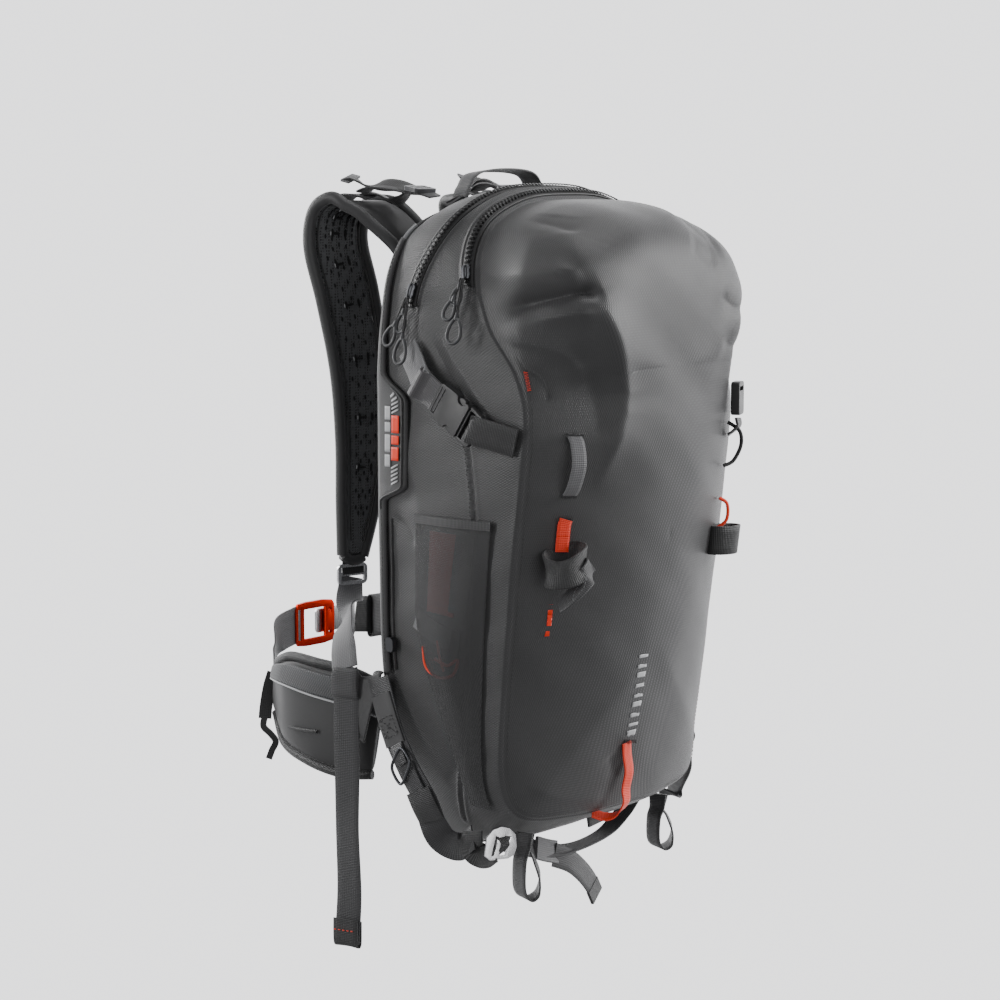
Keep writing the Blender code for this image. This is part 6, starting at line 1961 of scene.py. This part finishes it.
# %% Flat hook
hook_axes = axes_at(Vector((-0.86 * HALF_WIDTH, -0.1190, 0.0265)), (0.90, -0.44, 0), (0, 0.18, 0.98))
body = [(-0.0150, -0.0090), (-0.0110, -0.0130), (0.0060, -0.0130), (0.0120, -0.0105), (0.0150, -0.0040),
        (0.0150, 0.0070), (0.0095, 0.0130),
        (0.0020, 0.0150), (-0.0060, 0.0130), (-0.0125, 0.0070)]
slits = [[(-0.0098, -0.0095), (-0.0070, -0.0095), (-0.0008, 0.0065), (-0.0040, 0.0075)],
         [(-0.0030, -0.0098), (0.0040, -0.0098), (0.0110, 0.0060), (0.0045, 0.0070)]]
piece = moulded("flat_hook_plate", body, 0.0030, hook_axes, bare_aluminium, "pack", holes=slits,
                bevel=0.8 * MM)
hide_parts("flat_hook")
strap("flat_hook_bar_webbing", [(-0.1270, -0.1140, 0.0360), (-0.1240, -0.1240, 0.0270),
                                (-0.1280, -0.1150, 0.0160)], (0.93, -0.3, 0.2), 0.007,
      dark_webbing, "pack", count=20)

# %% Axe loops
def axe_loop(prefix, side, drop):
    """A hanging loop of webbing whose two strands part towards its bottom."""
    top = np.array(mirrored((-0.667 * HALF_WIDTH, -0.775 * SEAM_DEPTH, 0.0300), side))
    path = [(-0.0012, 0, 0.002), (-0.0035, -0.001, -0.010), (-0.0085, -0.001, -0.4 * drop),
            (-0.0090, -0.001, -0.80 * drop),
            (-0.0050, -0.003, -0.97 * drop), (0.0010, -0.006, -1.0 * drop), (0.0070, -0.009, -0.90 * drop),
            (0.0080, -0.010, -0.66 * drop),
            (0.0040, -0.006, -0.36 * drop), (0.0014, -0.001, -0.010), (0.0012, 0, 0.002)]
    turns = [(0.05, 1, 0), (0.25, 1, 0), (0.30, 1, 0), (0.35, 1, 0), (0.55, 0.9, 0), (0.75, 0.75, 0),
             (0.85, 0.65, 0), (0.6, 0.8, 0), (0.05, 1, 0)]
    piece = strap(prefix + "_axe_loop_webbing", [top + p for p in path], turns, 0.020, grey_webbing,
                  prefix + "_axe_loop", count=90)
    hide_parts(prefix + "_axe_loop")


axe_loop("left", LEFT, 0.0560)
axe_loop("right", RIGHT, 0.0480)

# %% Base strap with its keeper, tail and tab
arc = [(-0.1120, -0.0980, 0.0260), (-0.0920, -0.0960, 0.0180), (-0.0630, -0.0940, 0.0080),
       (-0.0355, -0.0940, 0.0000), (-0.0060, -0.0940, -0.0052),
       (0.0265, -0.0940, -0.0054), (0.0577, -0.0940, 0.0000), (0.0823, -0.0940, 0.0130),
       (0.0960, -0.0940, 0.0230)]
base_strap = strap("base_strap_webbing", arc, [(0.1, 0.25, 1), (0.1, 0.3, 1), (0.1, 0.4, 1), (0, 0.8, 0.5),
                                               (0, 1, 0.1), (0, 1, 0), (0, 1, 0.1), (0, 1, 0)],
                   0.018, grey_webbing, "pack", count=110)
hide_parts("base_strap")
strap("base_strap_keeper", [(-0.0480, -0.0960, 0.0045), (-0.0350, -0.0970, -0.0004),
                            (-0.0200, -0.0970, -0.0050)],
      [(0.1, 0.25, 1), (0.1, 0.3, 1)], 0.021, lit_grey_webbing, "pack", count=24, thick=3.4 * MM)
free_end = [(-0.0260, -0.0990, -0.0060), (-0.0060, -0.1010, -0.0150), (0.0120, -0.1020, -0.0290),
            (0.0260, -0.1020, -0.0440),
            (0.0330, -0.1020, -0.0560)]
strap("base_strap_tail", free_end, [(0.2, 0.1, 0.95), (0.52, 0.2, 0.72), (0.70, 0.2, 0.55),
                                    (0.80, 0.2, 0.40)], 0.022, grey_webbing, "pack",
      count=60, thick=1.8 * MM)
strap("base_strap_tail_end", [free_end[-2], free_end[-1]], [(0.76, 0.2, 0.48), (0.80, 0.2, 0.40)], 0.0226,
      dark_webbing, "pack", count=6,
      thick=3.0 * MM)
strap("base_tab", [(0.0310, -0.0960, 0.0400), (0.0320, -0.0990, 0.0260), (0.0330, -0.1010, 0.0120)],
      (1, 0.1, 0), 0.026, dark_webbing,
      "pack", count=16, thick=2.4 * MM)

# %% Right corner strap
right_stops = [(-0.1475, 0.0040, 0.1600), (-0.1500, -0.0400, 0.1000), (-0.1560, -0.0840, 0.0760),
               (-0.1570, -0.1060, 0.0640),
               (-0.1520, -0.1140, 0.0480), (-0.1430, -0.1130, 0.0330), (-0.1320, -0.1140, 0.0240),
               (-0.1230, -0.1160, 0.0300)]
turns = [(0, -0.89, 0.45), (0, -0.7, 0.7), (0.1, -0.4, 0.9), (0.2, -0.85, 0.3), (0.3, -0.95, 0.2),
         (0.3, -0.95, 0.1)]
corner = strap("right_corner_webbing", mirrored(right_stops, RIGHT), mirrored(turns, RIGHT), 0.024,
               grey_webbing, "pack", count=90)
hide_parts("right_ski_strap")
loop = [(-0.1480, -0.1060, 0.0900), (-0.1560, -0.1120, 0.0860), (-0.1600, -0.1140, 0.0760),
        (-0.1540, -0.1120, 0.0680), (-0.1480, -0.1080, 0.0720)]
strap("right_corner_loop", mirrored(loop, RIGHT), mirrored((0.4, -0.9, 0.1), RIGHT), 0.020, dark_webbing,
      "pack", count=40)
print("straps under the base made")

# %% [markdown]
# ## What is sewn on the front
#
# A column of pieces on the left of the front panel holds an ice axe: a bulging loop, tacked at both ends,
# with an orange webbing below it that ends in a stiff cuff for the shaft. An orange loop at the bottom
# holds the axe's head. The object's lettering is replaced by plain printed bars.

# %% Axe holder on the front
def on_front(x, z, lift=0.0):
    """A point lifted off the folded front panel."""
    row = front_cloth[np.argmin((front_cloth[:, 0] - x) ** 2 + (front_cloth[:, 2] - z) ** 2)]
    return row[:3] + row[3:] * lift


fine_s, fine_r = np.meshgrid(np.linspace(0, ROUND, 521)[:-1], np.linspace(0.05, 0.97, 150), indexing="ij")
front_cloth = np.concatenate([front_shape(fine_s, fine_r), skin_normal(front, fine_s, fine_r)],
                             -1).reshape(-1, 6)


def front_line(x0, z0, x1, z1, count, lift):
    return [on_front(x0 + (x1 - x0) * k / (count - 1), z0 + (z1 - z0) * k / (count - 1),
                     lift) for k in range(count)]


out_here = unit(on_front(-0.115, 0.365, 0.01) - on_front(-0.115, 0.365, 0))
level = np.array((1.0, 0, 0)) - out_here * out_here[0]
bulge = [on_front(-0.1133, 0.3890, 0.0014), on_front(-0.1133, 0.3820, 0.0080),
         on_front(-0.1133, 0.3650, 0.0140), on_front(-0.1135, 0.3480, 0.0100),
         on_front(-0.1138, 0.3370, 0.0014)]
strap("front_loop_webbing", bulge, level, 0.0130, lit_grey_webbing, "pack", count=40, thick=1.5 * MM)
strap("front_orange_webbing", front_line(-0.1148, 0.3155, -0.1150, 0.2900, 8, 0.0030), level, 0.0120,
      orange_webbing, "pack", count=20,
      thick=1.4 * MM)
for k, (x0, x1, z) in enumerate(((-0.1221, -0.1050, 0.3887), (-0.1222, -0.1075, 0.3367),
                                 (-0.1222, -0.1080, 0.3180))):
    middle = on_front((x0 + x1) / 2, z, 0.0032)
    bar_tack(f"front_tack_{k}", middle, level, UP, abs(x1 - x0), 0.0030, dark_thread, "pack", turns=26)
ring_turn = np.linspace(0, math.tau, 40, endpoint=False)
root = on_front(-0.1150, 0.2820, 0.0)
ring_path = [root + out_here * 0.0150 + level * (0.0190 * math.cos(a)) + out_here * (0.0135 * math.sin(a))
             + UP * (0.0060 * math.cos(a) - 0.0035 * math.sin(a))
             for a in ring_turn]
strap("front_cuff_ring", ring_path, unit(np.array((0.20, 0.25, 0.95))), 0.0240, dark_webbing, "pack",
      cyclic=True, resample=False, thick=2.2 * MM)
tab = [root + level * 0.0230 + out_here * 0.0200 + UP * 0.002,
       root + level * 0.0120 + out_here * 0.0300 - UP * 0.010,
       root - level * 0.0010 + out_here * 0.0300 - UP * 0.023,
       root - level * 0.0110 + out_here * 0.0220 - UP * 0.034]
strap("front_cuff_tab", tab, unit(np.array((0.55, 0.25, 0.80))), 0.0170, grey_webbing, "pack", count=36,
      thick=1.8 * MM)
tab_mid = (tab[1] + tab[2]) / 2 + out_here * 0.0030
box_side, box_up = unit(tab[1] - tab[2]), unit(np.array((0.55, 0.25, 0.80)))
outline = [tab_mid + box_side * a + box_up * b for a,
           b in ((-0.008, -0.005), (0.008, -0.005), (0.008, 0.005), (-0.008, 0.005), (-0.008, -0.005))]
sew("front_cuff_stitches", [outline], grey_thread, "pack", radius=0.35 * MM)

# %% Orange head loop and printed bars
tack_mid = on_front(-0.0195, 0.1090, 0.0016)
bar_tack("head_loop_tack", tack_mid, level, UP, 0.0170, 0.0032, dark_thread, "pack", turns=26)
loop_line = [on_front(-0.0195, 0.1080, 0.0014), on_front(-0.0180, 0.0960, 0.0034),
             on_front(-0.0165, 0.0820, 0.0070), on_front(-0.0165, 0.0680, 0.0090),
             (-0.0190, -0.1750, 0.0530), (-0.0230, -0.1690, 0.0430), (-0.0310, -0.1610, 0.0400),
             (-0.0400, -0.1530, 0.0440)]
strap("head_loop_webbing", loop_line, [(1, 0, 0), (1, 0, 0), (1, 0, 0), (0.95, 0.2, 0), (0.8, 0.4, 0.3),
                                       (0.5, 0.6, 0.5)], 0.0120,
      orange_webbing, "pack", count=60, thick=1.3 * MM)


def printed(name, x, z, width, height, finish, slant=0.0):
    def spot(a, b):
        a, b = np.broadcast_arrays(a, b)
        flat = np.stack([x + a * width + b * slant, z + b * height], -1).reshape(-1, 2)
        return np.array([on_front(u, v, 0.0004) for u, v in flat]).reshape(*a.shape, 3)
    return flat_patch(name, ((0, 0), (1, 0), (1, 1), (0, 1)), spot, finish, steps=5)


marks = [printed(f"orange_mark_{k}", -0.1205, low, 0.0035, high - low, orange_ink) for k, (low, high) in
         enumerate(((0.2170, 0.2212), (0.2226, 0.2290), (0.2304, 0.2330), (0.2344, 0.2400),
                    (0.2414, 0.2440)))]
joined("front_orange_marks", marks)
marks = []
for k in range(9):
    low = 0.1130 + 0.0090 * k
    centre = -0.0150 - (low - 0.1120) * 0.02
    marks.append(printed(f"grey_mark_{k}", centre - 0.0060, low, 0.0125, 0.0030 if k % 3 else 0.0052,
                         light_ink))
joined("front_grey_marks", marks)

# %% Right edge pieces
out_right = unit(on_front(0.098, 0.385, 0.01) - on_front(0.098, 0.385, 0))
place = axes_at(Vector(on_front(0.1040, 0.4060, 0.0085)), UP, np.cross(out_right, UP))
moulded("right_column_buckle", rounded_outline(0.030, 0.022, 0.004), 0.0080, place, acetal, "pack",
        bevel=1.0 * MM,
        holes=[[(0.0105, 0.0075), (0.0070, 0.0075), (0.0070, -0.0075), (0.0105, -0.0075)]])
strap("right_column_fold", [on_front(0.1040, 0.3900, 0.0100), on_front(0.1030, 0.3800, 0.0110),
                            on_front(0.1000, 0.3720, 0.0030)],
      np.cross(out_right, UP), 0.018, grey_webbing, "pack", count=24, thick=2.2 * MM)
loop = [on_front(0.0960, 0.3860, 0.0030), on_front(0.1010, 0.3780, 0.0130), on_front(0.1020, 0.3640, 0.0150),
        on_front(0.0980, 0.3520, 0.0100),
        on_front(0.0930, 0.3460, 0.0030)]
tube("right_elastic_loop", loop, 1.75 * MM, elastic, "pack", count=50)
cord = [on_front(0.0900, 0.3160, 0.0020), on_front(0.0930, 0.3100, 0.0090), on_front(0.0920, 0.3000, 0.0100),
        on_front(0.0880, 0.2910, 0.0020)]
tube("right_orange_tie", cord, 1.6 * MM, orange_thread, "pack", count=36)
root = on_front(0.0900, 0.2780, 0.0)
ring_path = [root + out_right * 0.0105 + np.array((0.0140 * math.cos(a), 0, 0)) + out_right
             * (0.0100 * math.sin(a)) for a in ring_turn]
strap("right_cuff_ring", ring_path, unit(np.array((0.05, -0.10, 0.99))), 0.0260, dark_webbing, "pack",
      cyclic=True, resample=False, thick=2.2 * MM)

# %% Haul loop and small tacks at the top
reach = 0.92
flat = [on_band(TOP - reach * k, 0.86, 0.0034) for k in (1.15, 1.0)]
middle = on_band(TOP, 0.86, 0.0)
rise = [np.array((flat[1][0] * 0.90, middle[1], middle[2] + 0.012)),
        np.array((flat[1][0] * 0.66, middle[1], middle[2] + 0.023))]
left_half = flat + rise
arch = left_half + [np.array((0, middle[1], middle[2] + HAUL_RISE))] + [p * (-1, 1,
        1) for p in reversed(left_half)]
arch_path = curve_through(arch, 90)
arch_across = np.array([(0, 1, -0.12 - 0.40 * float(smooth_step(0.6, 1.0, abs(p[0] / flat[0][0]))))
                        for p in arch_path])
haul = strap("haul_loop_webbing", arch_path, arch_across, 0.020, grey_webbing, "pack", resample=False,
             thick=WEB_THICKNESS)
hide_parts("haul_loop")
for k, side in enumerate((LEFT, RIGHT)):
    foot = mirrored(on_band(TOP - reach * 1.10, 0.86, 0.0052), side)
    bar_tack(f"haul_tack_{k}", foot, (0, 1, -0.4), (1, 0, 0), 0.018, 0.0045, dark_thread, "pack", turns=22)
spot = on_band(TOP + 1.0, 0.30, 0.0012)
bar_tack("top_orange_tack", spot, (1, 0, -0.1), (0, 1, 0), 0.010, 0.0030, orange_thread, "pack", turns=16)
spots = [front_shape(np.array([s]), np.array([0.975]))[0] for s in (7.10, 6.95, 6.80)]
bar_tack("seam_orange_tack", spots[1] + (-0.0005, -0.0008, 0), unit(spots[0] - spots[2]), (0.5, -0.8, 0),
         0.0165, 0.0034, orange_thread,
         "pack", turns=24)
print("front, right edge and haul loop made")

# %% [markdown]
# ## The last update
#
# The view layer is brought up to date once every piece is placed.

# %% Last update
bpy.context.view_layer.update()
